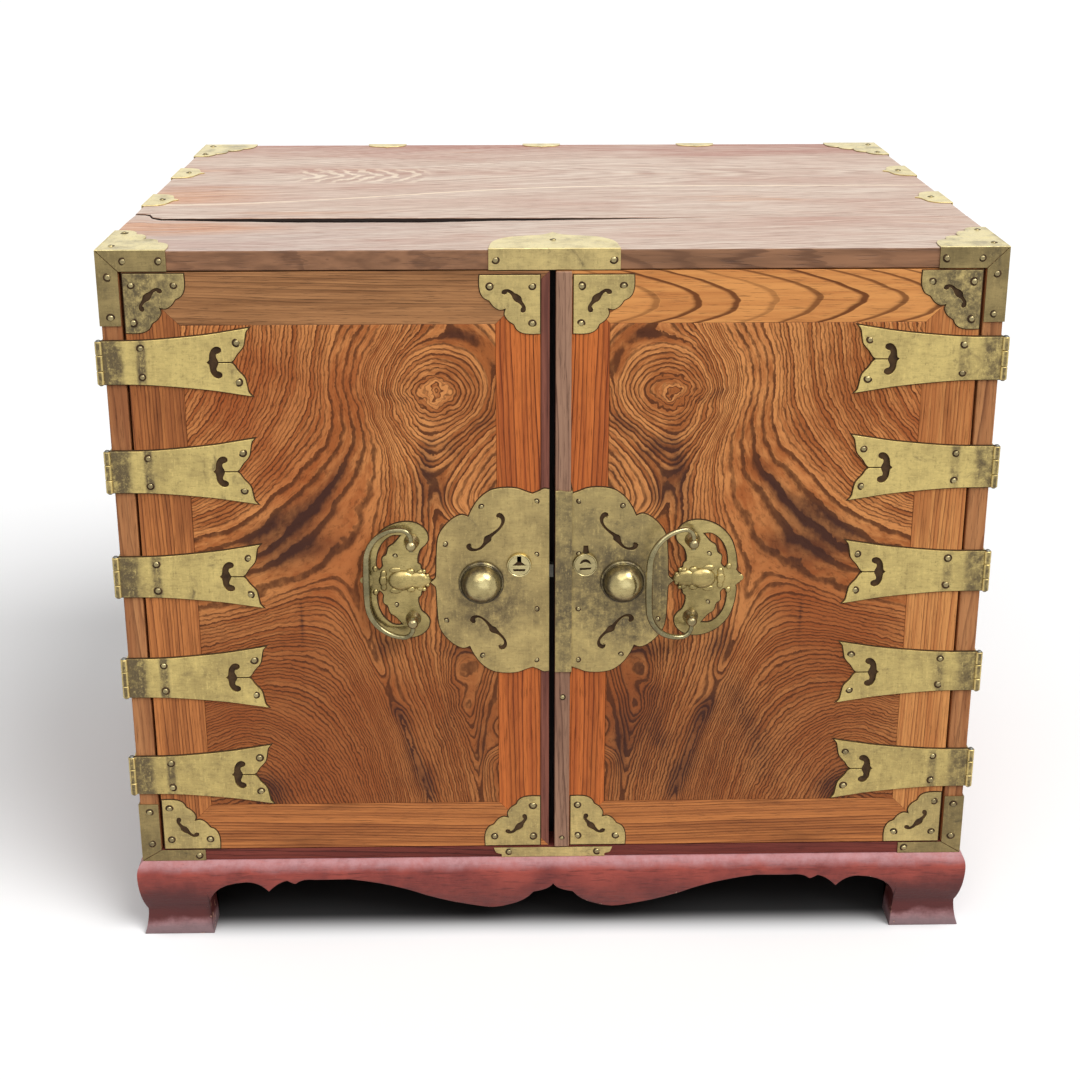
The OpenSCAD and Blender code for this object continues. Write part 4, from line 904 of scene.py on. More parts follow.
# A painted reflection: a pale patch of light near the top of each knob's dome.
def knob_painted_reflection(at):
    x, y, z = at.axes()
    side = x.size() - 52.7
    far = side.reach(z - 304)
    return (1 - (far + at.noise(0.2, 3, 0.7) * 9).ease(1.0, 6.0)) * 0.6


def right_plate_stain(at):
    """Fingers have darkened the right plate from its knob to its edge, and the sheath on the strip."""
    x, y, z = at.axes()
    return (1 - at.far_from(54, -224, 292).ease(22, 68)) * 0.75 + (1 - x.ease(13.0, 13.8)) * 0.5


# A painted highlight: brass on the top of the case is paler on the faces that look up.
def top_face_painted_highlight(at):
    return at.axes()[2].ease(552.4, 552.9) * (at.noise(0.06, 4, 0.65) * 2 + 0.75).ease(0, 1)


strap_brass = brass_finish("strap_brass", (205, 183, 116), (170, 150, 96), (96, 82, 57),
                           stain_and_shade=strap_stain, rise=0.0012)
left_plate_brass = brass_finish("left_plate_brass", (186, 164, 108), (144, 126, 84), (96, 82, 58),
                                stain_and_shade=left_plate_stain)
right_plate_brass = brass_finish("right_plate_brass", (188, 166, 108), (146, 129, 87), (96, 84, 60),
                                 stain_and_shade=right_plate_stain)
mount_brass = brass_finish("mount_brass", (158, 139, 93), (120, 105, 71), (76, 66, 46),
                           polish=0.4, pale=top_face_painted_highlight)
edge_brass = brass_finish("edge_brass", (202, 180, 120), (158, 140, 94), (92, 80, 56), pale=top_face_painted_highlight)
corner_brass = brass_finish("corner_brass", (200, 178, 116), (156, 138, 92), (92, 80, 56), stain_and_shade=corner_stain)
cast_brass = brass_finish("cast_brass", (186, 166, 108), (134, 119, 76), (66, 56, 38),
                          polish=0.42, gloss=0.28, rubbed=False)
bail_brass = brass_finish("bail_brass", (172, 160, 118), (118, 110, 80), (58, 52, 38),
                          polish=0.35, gloss=0.2, rubbed=False)
knob_brass = brass_finish("knob_brass", (186, 170, 118), (140, 126, 86), (66, 56, 40),
                          gloss=0.2, stain_and_shade=knob_painted_shade, pale=knob_painted_reflection, rubbed=False)
plug_brass = brass_finish("plug_brass", (204, 190, 140), (158, 144, 102), (88, 78, 54),
                          gloss=0.24, rubbed=False)
nail_brass = brass_finish("nail_brass", (174, 160, 116), (128, 114, 82), (62, 52, 38),
                          polish=0.4, gloss=0.22, rubbed=False)
iron = brass_finish("dark_iron", (120, 120, 112), (92, 92, 86), (58, 54, 48),
                     metal=0.8, gloss=0.45, rubbed=False)


# A dark brown for dirt and painted shade: outlines round the brass, rings round the nails, and the dark behind
# the lock plugs' key slots.
def grime_and_shade_finish():
    f = Finish("grime_and_shade")
    at = f.place()
    colour = (at.noise(0.2, 3) * 2 + 0.5).ease(0, 1).blend(srgb(82, 62, 42), srgb(54, 40, 29))
    return f.done(colour, at.noise(0.5, 2) * 0.2 + 0.7, at.noise(0.8, 2), 0.1, gleam=0.1)


grime_and_shade = grime_and_shade_finish()

# %% [markdown]
# ## The case
# Sides, bottom and back are plain planks. The front edges of the sides are seen between the brass.

# %% Case boards
case_z, case_d, top_z, half_w = 65.0, 460, 552.0, 320.0
back_y = FRONT_Y + case_d
for node, grain, log, edge, finish in (("side_left", "z", (0, 372, 40), 1.0, case_elm),
                                       ("side_right", "z", (900, -372, 40), 1.0, case_elm),
                                       ("bottom_board", "x", (0, 30, 60), 0.6, edge_elm),
                                       ("back_planks_set", "x", (400, 60, -190), 1.0, brown_elm),
                                       ("inner_uprights", "z", (0, 400, 500), 0.6, drawer_elm),
                                       ("drawer_shelves", "x", (0, 300, 500), 0.6, drawer_elm)):
    piece(node.removesuffix("_set"), boards_of(node, grain, log, edge), "case", "elm", finish, node)

# %% [markdown]
# The top is two boards. The joint between them has opened into a crack, widest at the left and closed
# again beyond the middle, with a small step at its left end. Both edges of the crack are drawn once,
# so the boards follow each other, and each is cut as a sheet as thick as the board.

# %% Top boards
top_t = 14.5
CRACK = [(-320, 131), (-309, 130.5), (-304, 118), (-296, 112.6), (-240, 111.6), (-160, 111.4), (-80, 110.6),
         (0, 110.4), (80, 110.2), (125, 110.4), (200, 111), (320, 111.5)]
GAPS = [(-320, 1.8), (-296, 2.2), (-240, 2.7), (-80, 2.3), (0, 1.8), (80, 1.1), (125, 0.5), (200, 0.3),
        (320, 0.3)]
DIPS = [(-320, 0.8), (-300, 1.2), (-240, 2.3), (-190, 3.2), (-90, 3.3), (-50, 2.3), (0, 1.9), (60, 1.0),
        (110, 0.3), (140, 0), (320, 0)]


def read_off(table, x):
    return float(np.interp(x, [p[0] for p in table], [p[1] for p in table]))


def top_board(rear):
    """Sections across the board from its outer edge to the crack, one every few millimetres."""
    sections, faded = [], []
    xs = [-320, -319.2, *np.arange(-316, 317, 4), 319.2, 320]
    for x in xs:
        tall = top_t - (0.8 if abs(x) == 320 else 0)
        crack = read_off(CRACK, x) + 0.25 * math.sin(0.13 * x) + 0.2 * math.sin(0.41 * x + 1)
        wide = case_d - crack - read_off(GAPS, x) if rear else crack
        dip = 0.25 if rear else read_off(DIPS, x)
        # The third number of each point: 1 on the face, 0 on the edges, -1 on the wall of the crack, where the
        # finish paints shade.
        loop = [(0.6, 0, 0), (0, 0.6, 0), (0, tall - 1.2, 0), (0.35, tall - 0.35, 0.3), (1.2, tall, 1)]
        for k in range(24):
            s = 3 + (wide - 6) * k / 23
            loop.append((s, tall - dip * math.exp(-((wide - s) / 18) ** 2), 1))
        loop += [(wide - 0.7, tall - dip, 1), (wide - 0.1, tall - dip - 0.4, 0.2), (wide, tall - dip - 0.8, -1),
                 (wide, 0.6, -1), (wide - 0.6, 0, -1)]
        y = [FRONT_Y + (case_d - s if rear else s) for s, _, _ in loop]
        sections.append([(x, b, top_z - top_t + z) for b, (_, z, _) in zip(y, loop)])
        faded += [0 if abs(x) == 320 else shade for _, _, shade in loop]
    return loft(sections), faded


for name, rear, log in (("top_front_board", False, (900, -512, -80)),
                        ("top_rear_board", True, (300, -512, -80))):
    shape, faded = top_board(rear)
    piece(name, shape.cut_from("x", log), "case", "worn_elm", pale_top_elm, marks={"faded": faded})

# %% [markdown]
# The divider has a slot for the right lock's cam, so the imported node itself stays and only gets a
# finish. It carries no place in a log, so its finish reads its place on the chest instead.

# %% Divider
def plain_inner(name, light, dark):
    """Its front edge is painted nearly black, as the shade in the gap where the doors meet."""
    f = Finish(name)
    at = f.place()
    line = at.times(0.35, 0.35, 0.012).noise(1, 3, 0.6)
    colour = (line * 2 + 0.5).ease(0, 1).blend(srgb(*light), srgb(*dark))
    pores = at.times(1.2, 1.2, 0.06).noise(1, 2).ease(0.1, 0.3)
    colour = colour.painted(pores * 0.4, *[c * 0.6 for c in dark])
    # Painted shade: the front edge, seen in the gap between the doors, is nearly black.
    colour = colour.painted(1 - (at.axes()[1] + line * 6).ease(-198, -188), 20, 13, 11)
    return f.done(colour, pores * 0.1 + 0.5, line - pores, 0.2, gleam=0.15)


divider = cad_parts["centre_divider"]
divider.data.materials.clear()
divider.data.materials.append(plain_inner("divider_elm", (170, 98, 56), (124, 68, 42)))

# %% [markdown]
# ## The stand
# Each side of the stand is one board with an arched lower edge and a swelling face. It is built as a
# net: columns run from the lower edge up to the case, and every row is pushed out to the face's
# section. The last columns lie on the mitre. The lower edge is rounded where it has worn.

# %% Stand
def bend(a, b, c, steps=6):
    """A curve from a to c that leans towards b, without its first point."""
    ts = [(k + 1) / steps for k in range(steps)]
    return [tuple(a[k] * (1 - t) ** 2 + 2 * b[k] * t * (1 - t) + c[k] * t * t for k in (0, 1)) for t in ts]


def chain(start, *legs):
    """Curves one after the other: each leg is the point it leans towards and the point it reaches."""
    line = [start]
    for lean, end in legs:
        line += bend(line[-1], lean, end) if lean else [end]
    return line


stand_h, apron_t, swell, arch = 65.0, 22.0, 5.5, 17.8
section = chain((0.7, stand_h), ((swell, stand_h - 2), (swell, stand_h - 13)),
                ((swell - 0.5, stand_h - 32), (-0.5, stand_h - 44)), ((0.2, 7.8), (swell * 0.6, 0)))[::-1]


def face_out(z):
    """How far the apron's face stands out at a height."""
    for (a, low), (b, high) in zip(section, section[1:]):
        if low <= z <= high:
            return a + (b - a) * (z - low) / max(high - low, 1e-6)
    return section[-1][0]


def arch_edge(x):
    top = stand_h - arch
    return chain((x, 0), (None, (x + 2, 27)), ((x - 1, top - 1), (x - 28, top)),
                 ((x - 38, top), (x - 45, top - 9.2)), ((x - 53, top), (x - 60, top + 1)))


def front_edge(x):
    top = stand_h - arch
    return arch_edge(x) + chain((x - 60, top + 1), ((x - 66, top - 3), (x - 67, top - 1.5)),
                                ((x - 72, top + 3), (x - 82, top + 1.5)), (None, (x - 109, top + 1.8)),
                                ((x - 145, top - 3), (x - 168, top - 14.5)), ((x - 204, 18.5), (47, 18.5)),
                                ((26, 19.5), (15.4, 35)), ((3, 37), (0, 43)))[1:]


def apron(half, depth, edge):
    """The board, and how near each of its points is to the lower edge, from 0 to 1."""
    foot = edge[0][0]
    outer = [(foot + (half - foot) * k / 6, 0) for k in range(6, 0, -1)]
    columns = outer + edge
    columns += [(-x, z) for x, z in columns[::-1] if x > 0.01]
    count = 25
    points, faces = [], []
    for i, (x, z0) in enumerate(columns):
        lean = 6 * max(0.0, 1 - abs(abs(x) - foot) / 14) * math.copysign(1, x) if abs(x) > 1 else 0
        end = i in (0, len(columns) - 1)
        for j in range(count):
            t = (j - 2) / (count - 3) if j > 2 else 0
            z = z0 + (0, 0.35, 1.1)[j] if j < 3 else z0 + 1.1 + (stand_h - z0 - 1.1) * t
            worn = (0.9, 0.3, 0)[j] if j < 3 else 0
            out = face_out(z) - worn
            px = math.copysign(half + out, x) if end else x + lean * t
            points.append((px, -depth - out, z))
    base = len(points)
    for i, (x, z0) in enumerate(columns):
        end = i in (0, len(columns) - 1)
        bx = math.copysign(half - apron_t, x) if end else max(-half + apron_t, min(half - apron_t, x))
        points.append((bx, -depth + apron_t, z0))
        points.append((bx, -depth + apron_t, stand_h))
    for i in range(len(columns) - 1):
        for j in range(count - 1):
            a = i * count + j
            faces.append((a, a + 1, a + count + 1, a + count))
        b = base + 2 * i
        faces += [(b, b + 2, b + 3, b + 1), (i * count, (i + 1) * count, b + 2, b),
                  (i * count + count - 1, b + 1, b + 3, (i + 1) * count + count - 1)]
    last = len(columns) - 1
    down = range(last * count + count - 1, last * count - 1, -1)
    faces += [(*range(count), base + 1, base), (*down, base + 2 * last, base + 2 * last + 1)]
    shape = net(points, faces, 0.01)
    line = np.array(columns)
    a, b = line[:-1], line[1:]
    at = np.array([(p.x, p.z) for p in shape.points])[:, None]
    t = np.clip(((at - a) * (b - a)).sum(2) / np.maximum(((b - a) ** 2).sum(1), 1e-6), 0, 1)
    near = np.linalg.norm(at - a - t[..., None] * (b - a), axis=2).min(1)
    return shape, np.clip(1 - near / 3, 0, 1)


for name, angle, half, depth in (("stand_front", 0, 320, 230), ("stand_right", 90, 230, 320),
                                 ("stand_rear", 180, 320, 230), ("stand_left", -90, 230, 320)):
    inner = half + 0.5 - 52
    edge = front_edge(inner) if name == "stand_front" else arch_edge(inner) + [(0, stand_h - arch + 1)]
    shape, rim = apron(half, depth, edge)
    shape = shape.moved(moved_to(0, FRONT_Y + case_d / 2, 0) @ turned(angle, "Z"))
    piece(name, shape, "case", "red_lacquer", red_lacquer, sharp=28, marks={"rim": rim})

# %% [markdown]
# ## Doors
# Each door is a frame of four mitred members round a flush panel. The members are cut as sheets of
# the door's thickness: uprights with straight grain, rails lying down. The mortises for the lock
# parts are cut out of the meeting stile with a Boolean modifier.

# %% Door frames
door_y, door_back = FRONT_Y - 0.4, FRONT_Y + 19.6
door_z0, door_z1, outer_x, frame_w = 75.3, 536.7, 303.4, 38.5
EDGE_IN = {"left": 3.4, "right": 1.0}
plug_z, plug_in = 314.0, 22.3


def member(points, cutters=()):
    shape = front_sheet(points, y=door_back, thick=20, edge=0.35)
    for cutter in cutters:
        shape = cut_out(shape, cutter)
    return shape


def bore(radius, depth, x):
    """A round hole from the door's back."""
    return on_front(rod(radius, -1, depth), x, door_back, plug_z)


for side in SIDES:
    left = side == "left"
    x0, x1, z0, z1, w, g = -outer_x, -EDGE_IN[side], door_z0, door_z1, frame_w, 0.05
    pocket = board((x1 - (31.4 if left else 13.6), -215.1, 299.85), (x1 + 1, -208.2, 311.2), edge=0.01)
    cutters = [pocket, bore(5.3, 22, x1 - plug_in)] + ([bore(10.4, 16, x1 - plug_in)] if left else [])
    parts = {
        "outer_stile": ([(x0, z0), (x0 + w - g, z0 + w), (x0 + w - g, z1 - w), (x0, z1)], (), "z",
                        (0, 460, 250), golden_elm if left else pale_elm),
        "bottom_rail": ([(x0 + g, z0), (x1 - g, z0), (x1 - w, z0 + w - g), (x0 + w, z0 + w - g)], (), "x",
                        (300, 90, 240), golden_elm),
        "top_rail": ([(x0 + g, z1), (x0 + w, z1 - w + g), (x1 - w, z1 - w + g), (x1 - g, z1)], (), "x",
                     (100, -260, 250) if left else (100, -514, 240), brown_elm if left else bold_elm),
        "lock_stile": ([(x1, z0), (x1, z1), (x1 - w + g, z1 - w), (x1 - w + g, z0 + w)], cutters, "z",
                       (500, 100, 260), amber_elm)}
    for part, (corners, cutters, grain, log, finish) in parts.items():
        shape = on_side(member(corners, cutters).cut_from(grain, log), side)
        piece(f"{side}_door_{part}", shape, f"{side}_door", "elm", finish, f"{side}_door_frame")

# %% [markdown]
# The panel is a fine net, so that it can carry the ring number and the dark patches at each point.
# Its rim drops by a third of a millimetre, which is the thin dark line round the real panel.

# %% Door panels
def stops(low, high):
    """A stop every 3 mm, and a narrow rim at both ends."""
    return [low, *np.linspace(low + 0.4, high - 0.4, round((high - low) / 3.0)), high]


def panel(side):
    inset = frame_w + 0.1
    us = stops(inset, outer_x - inset - EDGE_IN[side])
    vs = stops(door_z0 + inset - case_z, door_z1 - inset - case_z)
    nu, nv = len(us), len(vs)
    points = []
    for i, u in enumerate(us):
        for j, v in enumerate(vs):
            rim = i in (0, nu - 1) or j in (0, nv - 1)
            points.append((SIDES[side] * (u + EDGE_IN[side]), door_y + (0.35 if rim else 0), v + case_z))
    faces = [(i * nv + j, (i + 1) * nv + j, (i + 1) * nv + j + 1, i * nv + j + 1)
             for i in range(nu - 1) for j in range(nv - 1)]
    rim = ([i * nv for i in range(nu)] + [(nu - 1) * nv + j for j in range(1, nv)]
           + [i * nv + nv - 1 for i in range(nu - 2, -1, -1)] + [j for j in range(nv - 2, 0, -1)])
    base, n = len(points), len(rim)
    points += [(x, door_y + 13, z) for x, _, z in points]
    faces += [tuple(base + k for k in face) for face in faces]
    faces += [(rim[k], base + rim[k], base + rim[(k + 1) % n], rim[(k + 1) % n]) for k in range(n)]
    return net(points, faces)


for side in SIDES:
    shape = panel(side)
    u = np.array([abs(p.x) - EDGE_IN[side] for p in shape.points])
    v = np.array([p.z - case_z for p in shape.points])
    rings, pace = ring_number(u, v)
    piece(f"{side}_door_panel", shape, f"{side}_door", "figured_elm", figured_elm,
          marks={"rings": rings, "pace": pace, "shade": patch_strength(u, v, side)})
    print(f"{side}_door_panel carries rings {rings.min():.0f} to {rings.max():.0f}")

strip = boards_of("right_meeting_strip", "z", (0, 60, 300), 0.9)
piece("meeting_strip", strip, "right_door", "worn_elm", strip_elm, "right_meeting_strip")

# %% [markdown]
# ## Nails
# There are nearly two hundred domed nails, all alike but for a slight tilt and size. That is work for
# Geometry Nodes: one squashed ball is set on every point of a point cloud, upright on the surface it
# is driven into, and the result is turned into one plain mesh for each body.
# The same tree, with a wider and flatter ball, makes the dark ring round each nail, partly dirt and partly a
# painted shadow.

# %% Nail tree
def nail_tree():
    tree = bpy.data.node_groups.new("domed_nails", "GeometryNodeTree")
    for name, kind in (("Points", "Geometry"), ("Radius", "Float"), ("Height", "Float"), ("Spread", "Float"),
                       ("Seed", "Int"), ("Finish", "Material")):
        tree.interface.new_socket(name=name, in_out="INPUT", socket_type=f"NodeSocket{kind}")
    tree.interface.new_socket(name="Nails", in_out="OUTPUT", socket_type="NodeSocketGeometry")

    def node(kind, links=None, **settings):
        made = tree.nodes.new(kind)
        for key, value in settings.items():
            setattr(made, key, value)
        for key, value in (links or {}).items():
            if isinstance(value, bpy.types.NodeSocket):
                tree.links.new(value, made.inputs[key])
            else:
                made.inputs[key].default_value = value
        return made

    given = node("NodeGroupInput").outputs
    ball = node("GeometryNodeMeshUVSphere", {"Segments": 14, "Rings": 8, "Radius": 1.0})
    size = node("ShaderNodeCombineXYZ", {0: given["Radius"], 1: given["Radius"], 2: given["Height"]})
    dome = node("GeometryNodeTransform", {"Geometry": ball.outputs["Mesh"], "Scale": size.outputs[0]})
    way = node("GeometryNodeInputNamedAttribute", {"Name": "way"}, data_type="FLOAT_VECTOR")
    upright = node("FunctionNodeAlignRotationToVector", {"Vector": way.outputs["Attribute"]}, axis="Z")
    tilt = node("FunctionNodeRandomValue", {0: (-0.1, -0.1, 0), 1: (0.1, 0.1, 0), "Seed": given["Seed"]},
                data_type="FLOAT_VECTOR")
    crooked = node("FunctionNodeRotateRotation", {0: upright.outputs[0], 1: tilt.outputs[0]},
                   rotation_space="LOCAL")
    low = node("ShaderNodeMath", {0: 1.0, 1: given["Spread"]}, operation="SUBTRACT")
    high = node("ShaderNodeMath", {0: 1.0, 1: given["Spread"]}, operation="ADD")
    spread = node("FunctionNodeRandomValue", {2: low.outputs[0], 3: high.outputs[0], "Seed": given["Seed"]},
                  data_type="FLOAT")
    share = node("GeometryNodeInputNamedAttribute", {"Name": "share"}, data_type="FLOAT")
    scale = node("ShaderNodeMath", {0: spread.outputs[1], 1: share.outputs["Attribute"]}, operation="MULTIPLY")
    driven = node("GeometryNodeInstanceOnPoints", {"Points": given["Points"], "Instance": dome.outputs[0],
                                                   "Rotation": crooked.outputs[0], "Scale": scale.outputs[0]})
    real = node("GeometryNodeRealizeInstances", {0: driven.outputs[0]})
    soft = node("GeometryNodeSetShadeSmooth", {0: real.outputs[0]})
    dressed = node("GeometryNodeSetMaterial", {"Geometry": soft.outputs[0], "Material": given["Finish"]})
    node("NodeGroupOutput", {0: dressed.outputs[0]})
    return tree


NAIL_TREE = nail_tree()


def nails(name, places, body, radius, height, seed, material):
    """One mesh of nails, each driven at a (point, way out of the surface, share of full size)."""
    cloud = bpy.data.meshes.new(name)
    cloud.from_pydata([Vector(p) * MM for p, _, _ in places], [], [])
    ways = [n for _, way, _ in places for n in way]
    cloud.attributes.new("way", "FLOAT_VECTOR", "POINT").data.foreach_set("vector", ways)
    cloud.attributes.new("share", "FLOAT", "POINT").data.foreach_set("value", [share for *_, share in places])
    obj = linked(name, cloud)
    drive = obj.modifiers.new("nails", "NODES")
    drive.node_group = NAIL_TREE
    values = {"Radius": radius * MM, "Height": height * MM, "Spread": 0.1, "Seed": seed, "Finish": material}
    for item in NAIL_TREE.interface.items_tree:
        if item.in_out == "INPUT" and item.name in values:
            drive[item.identifier] = values[item.name]
    real = evaluated(obj)
    obj.modifiers.clear()
    obj.data = real
    bpy.data.meshes.remove(cloud)
    real.name = name
    settle(obj, name, body, None)
    print(f"{name}: {len(places)} nails, {len(real.polygons)} faces")


def drive_nails(body, places, seed, dirt_and_shade_radius):
    """The nails of a body, and the dark ring round each, of dirt and painted shadow."""
    nails(f"{body}_nails", places, body, 2.1, 1.2, seed, nail_brass)
    nails(f"{body}_nail_dirt_and_shade", places, body, dirt_and_shade_radius, 0.14, seed, grime_and_shade)


FORWARD, UPWARD, BACKWARD = (0, -1, 0), (0, 0, 1), (0, 1, 0)

# %% [markdown]
# ## Brass on the doors
# Strap hinges first. A strap widens from its knuckle to a fishtail with two points, and a crescent is
# pierced through it, joined to the notch by a saw cut. So the crescent is part of the outline.

# %% Strap hinges
strap_zs = [door_z0 + 65.5 + 82.6 * i for i in range(5)]
hinge_x, hinge_y = 322.9, door_y - 0.75
strap_side = (smooth([(0, 15.9), (28, 16.2), (51, 17.8), (76, 20.4), (92, 22.9), (106.6, 25.3)])
              + smooth([(106.6, 25.3), (104.4, 22.4), (103.4, 17.6), (102.4, 12.6), (100.6, 9.6), (97.4, 6),
                        (95, 2.2), (93, 0.4)])[1:])
crescent = [(84.0, 0.4)] + smooth([(83.6, 1.6), (82.4, 4.4), (82.8, 6.2), (84.4, 6.8), (86.2, 8.2),
                                   (86.0, 10.6), (83.4, 11.8), (80.4, 10.6), (78.2, 7.2), (77.6, 3.6),
                                   (77.2, 1.6), (75.6, 0)])
strap_outline = both_ways(strap_side + crescent)


def knuckle(z0, z1, radius=2.7):
    profile = [(0, z0), (radius - 0.4, z0), (radius, z0 + 0.4), (radius, z1 - 0.4), (radius - 0.4, z1), (0, z1)]
    return lathe(profile, 24)


for side in SIDES:
    strap = front_sheet(strap_outline, y=0.75, thick=1.5, edge=0.4) + knuckle(-5.7, 5.7)
    straps = joined(strap.moved(moved_to(-hinge_x, hinge_y, z)) for z in strap_zs)
    brass_piece(side, "door_straps", straps, strap_brass)

# %% [markdown]
# The other half of each hinge is a short leaf round the corner, on the side of the case, with the two
# outer knuckles. An iron pin runs through all three.

# %% Side leaves and pins
leaf_outline = [(1.2, -15.9), (22, -15.9), (26, -11.9), (26, 11.9), (22, 15.9), (1.2, 15.9)]
pin = lathe([(0, -17.2), (1.3, -16.9), (1.9, -16.2), (1.9, -15.9), (1.2, -15.9), (1.2, 15.9), (1.9, 15.9),
             (1.9, 16.2), (1.3, 16.9), (0, 17.2)], 20)
outer_knuckles = knuckle(-15.9, -6.1) + knuckle(6.1, 15.9)
leaves, pins = [], []
for side in SIDES:
    for z in strap_zs:
        at_hinge = moved_to(-hinge_x, hinge_y, z)
        leaf = on_left_side(sheet(leaf_outline, thick=1.5, edge=0.4), -half_w, FRONT_Y, z)
        leaves.append(on_side(leaf + outer_knuckles.moved(at_hinge), side))
        pins.append(on_side(pin.moved(at_hinge), side))
piece("hinge_side_leaves", joined(leaves), "case", "brass", corner_brass)
piece("hinge_pins", joined(pins), "case", "steel", iron)

# %% [markdown]
# Each door corner has a mount with a cloud-shaped edge and a small pierced scroll.

# %% Door corner mounts
mount_half = ([(0.3, 0.3)] + smooth([(43, 0.3), (43.2, 7), (42.4, 12.6), (40, 16.6), (36.2, 18.7)])
              + smooth([(36.2, 18.7), (33, 23.0), (28.8, 25.4), (24.6, 24.6)])[1:])
mount_outline = mount_half + [(y, x) for x, y in mount_half[::-1]][1:-1]
mount_scroll = stroke([(26.2, 14.2, 0.9), (25.6, 12.8, 1.9), (23.4, 11.6, 1.2), (21, 12.6, 1.2),
                       (19.2, 14.4, 1.5), (17.8, 15.8, 2.3), (15.8, 17.8, 2.6), (14.4, 19.6, 1.6),
                       (12.8, 21.6, 1.2), (11.8, 23.6, 1.3), (12.6, 25.8, 2.0), (14, 26.4, 0.9)], 3)


def scaled(points, w, h):
    return [(x * w, y * h) for x, y in points]


def at_door_corners(side):
    """The four places of a mount as (x, z, mirrored in x, mirrored in z)."""
    x0, x1 = -outer_x + 0.5, -EDGE_IN[side] - (6.5 if side == "left" else 12.1)
    return [(x0, door_z0 + 0.5, 1, 1), (x1, door_z0 + 0.5, -1, 1),
            (x0, door_z1 - 0.5, 1, -1), (x1, door_z1 - 2.5, -1, -1)]


def corner_mounts(side, outline, holes=(), **cut):
    return joined(front_sheet(scaled(outline, fx, fz), x, door_y, z, [scaled(h, fx, fz) for h in holes], **cut)
                  for x, z, fx, fz in at_door_corners(side))


for side in SIDES:
    brass_piece(side, "door_corner_mounts", corner_mounts(side, mount_outline, [mount_scroll]), corner_brass)

# %% [markdown]
# The lock plates meet in the middle as one cloud shape, each with two pierced scrolls. The right plate
# steps up over the meeting strip, so it is a plate, a riser and a strip of its own.

# %% Lock plates
lock_z = 300.0
upper_edge = (smooth([(0, 73.2), (-4, 73.6), (-8, 71.6), (-12.5, 69.8)])
              + smooth([(-12.5, 69.8), (-17, 71.4), (-24, 74), (-33.5, 74.5), (-43, 72.6), (-51, 66.6),
                        (-56.5, 58.6), (-59.5, 52)])[1:]
              + smooth([(-59.5, 52), (-64.5, 53.6), (-71, 50.6), (-77.6, 44), (-82, 35.5), (-83.4, 21),
                        (-84, 5.6), (-85.6, 2.2), (-88.2, 0)])[1:])
lock_outline = both_ways(upper_edge)
scrolls = [stroke([(-38.4, 51.6, 0.9), (-36.8, 53.2, 2.0), (-34.4, 51, 1.6), (-34.2, 47.4, 1.1),
                   (-36.6, 43, 0.9), (-40.4, 39.4, 1.1), (-43.6, 36.8, 1.5), (-45.4, 34.6, 2.8),
                   (-47.6, 30.8, 1.4), (-50.6, 27.4, 1.0), (-54.4, 25.8, 0.9), (-58, 26.4, 1.5),
                   (-59.6, 28.8, 1.8), (-57.8, 30.2, 0.9)], 3),
           stroke([(-55.4, -32.8, 0.9), (-57.2, -31.2, 2.0), (-56.4, -28.6, 1.6), (-53, -28, 0.9),
                   (-49.6, -29.8, 0.9), (-46.4, -33, 1.1), (-43.8, -36.6, 1.6), (-42, -38.8, 2.8),
                   (-38.4, -41.6, 1.3), (-35.2, -44.8, 1.0), (-33, -48.6, 0.9), (-33.4, -52, 1.5),
                   (-35.8, -53.4, 1.9), (-37.4, -51.4, 0.9)], 3)]
shaft_hole = circle(5.3, 32, -plug_in, plug_z - lock_z)
plate_cut = dict(thick=1.2, edge=0.35)
left_plate = front_sheet(lock_outline, -EDGE_IN["left"], door_y, lock_z, [*scrolls, shaft_hole], **plate_cut)
brass_piece("left", "lock_plate", left_plate, left_plate_brass)

step, strip_t, edge_x = 11.3, 3.0, -EDGE_IN["right"]
right_outline = [(-step - 0.4, 73.9)] + [p for p in lock_outline if p[0] < -step - 0.4] + [(-step - 0.4, -73.9)]
keyway = [(x, y) for x, y in shaft_hole if y < 14 or abs(x + plug_in + 0.35) > 1.8]
keyway = sorted(keyway, key=lambda p: (math.atan2(p[1] - 14, p[0] + plug_in) - math.pi / 2) % math.tau)
keyway += [(-plug_in + 1.3, 28.6), (-plug_in - 2.0, 28.6)]
right_plate = front_sheet(right_outline, edge_x, door_y, lock_z, [*scrolls, keyway], **plate_cut)
right_plate += board((edge_x - step - 1.2, door_y - strip_t - 1.1, lock_z - 73),
                     (edge_x - step, door_y, lock_z + 73), edge=0.3)
cover_edge = [(0, -73), (0, 73)] + smooth([(-4, 73.4), (-8, 72.4), (-12.5, 72.6)], 3) + [(-12.5, -73)]
right_plate += front_sheet(cover_edge, edge_x, door_y - strip_t, lock_z, **plate_cut)
brass_piece("right", "lock_plate", right_plate, right_plate_brass)

# %% [markdown]
# Two big knobs, each a beaten dome on a flanged ring, pull the doors open. Beside each sits the round
# plug of a lock, with a key slot shaped like an arrow over a bar.

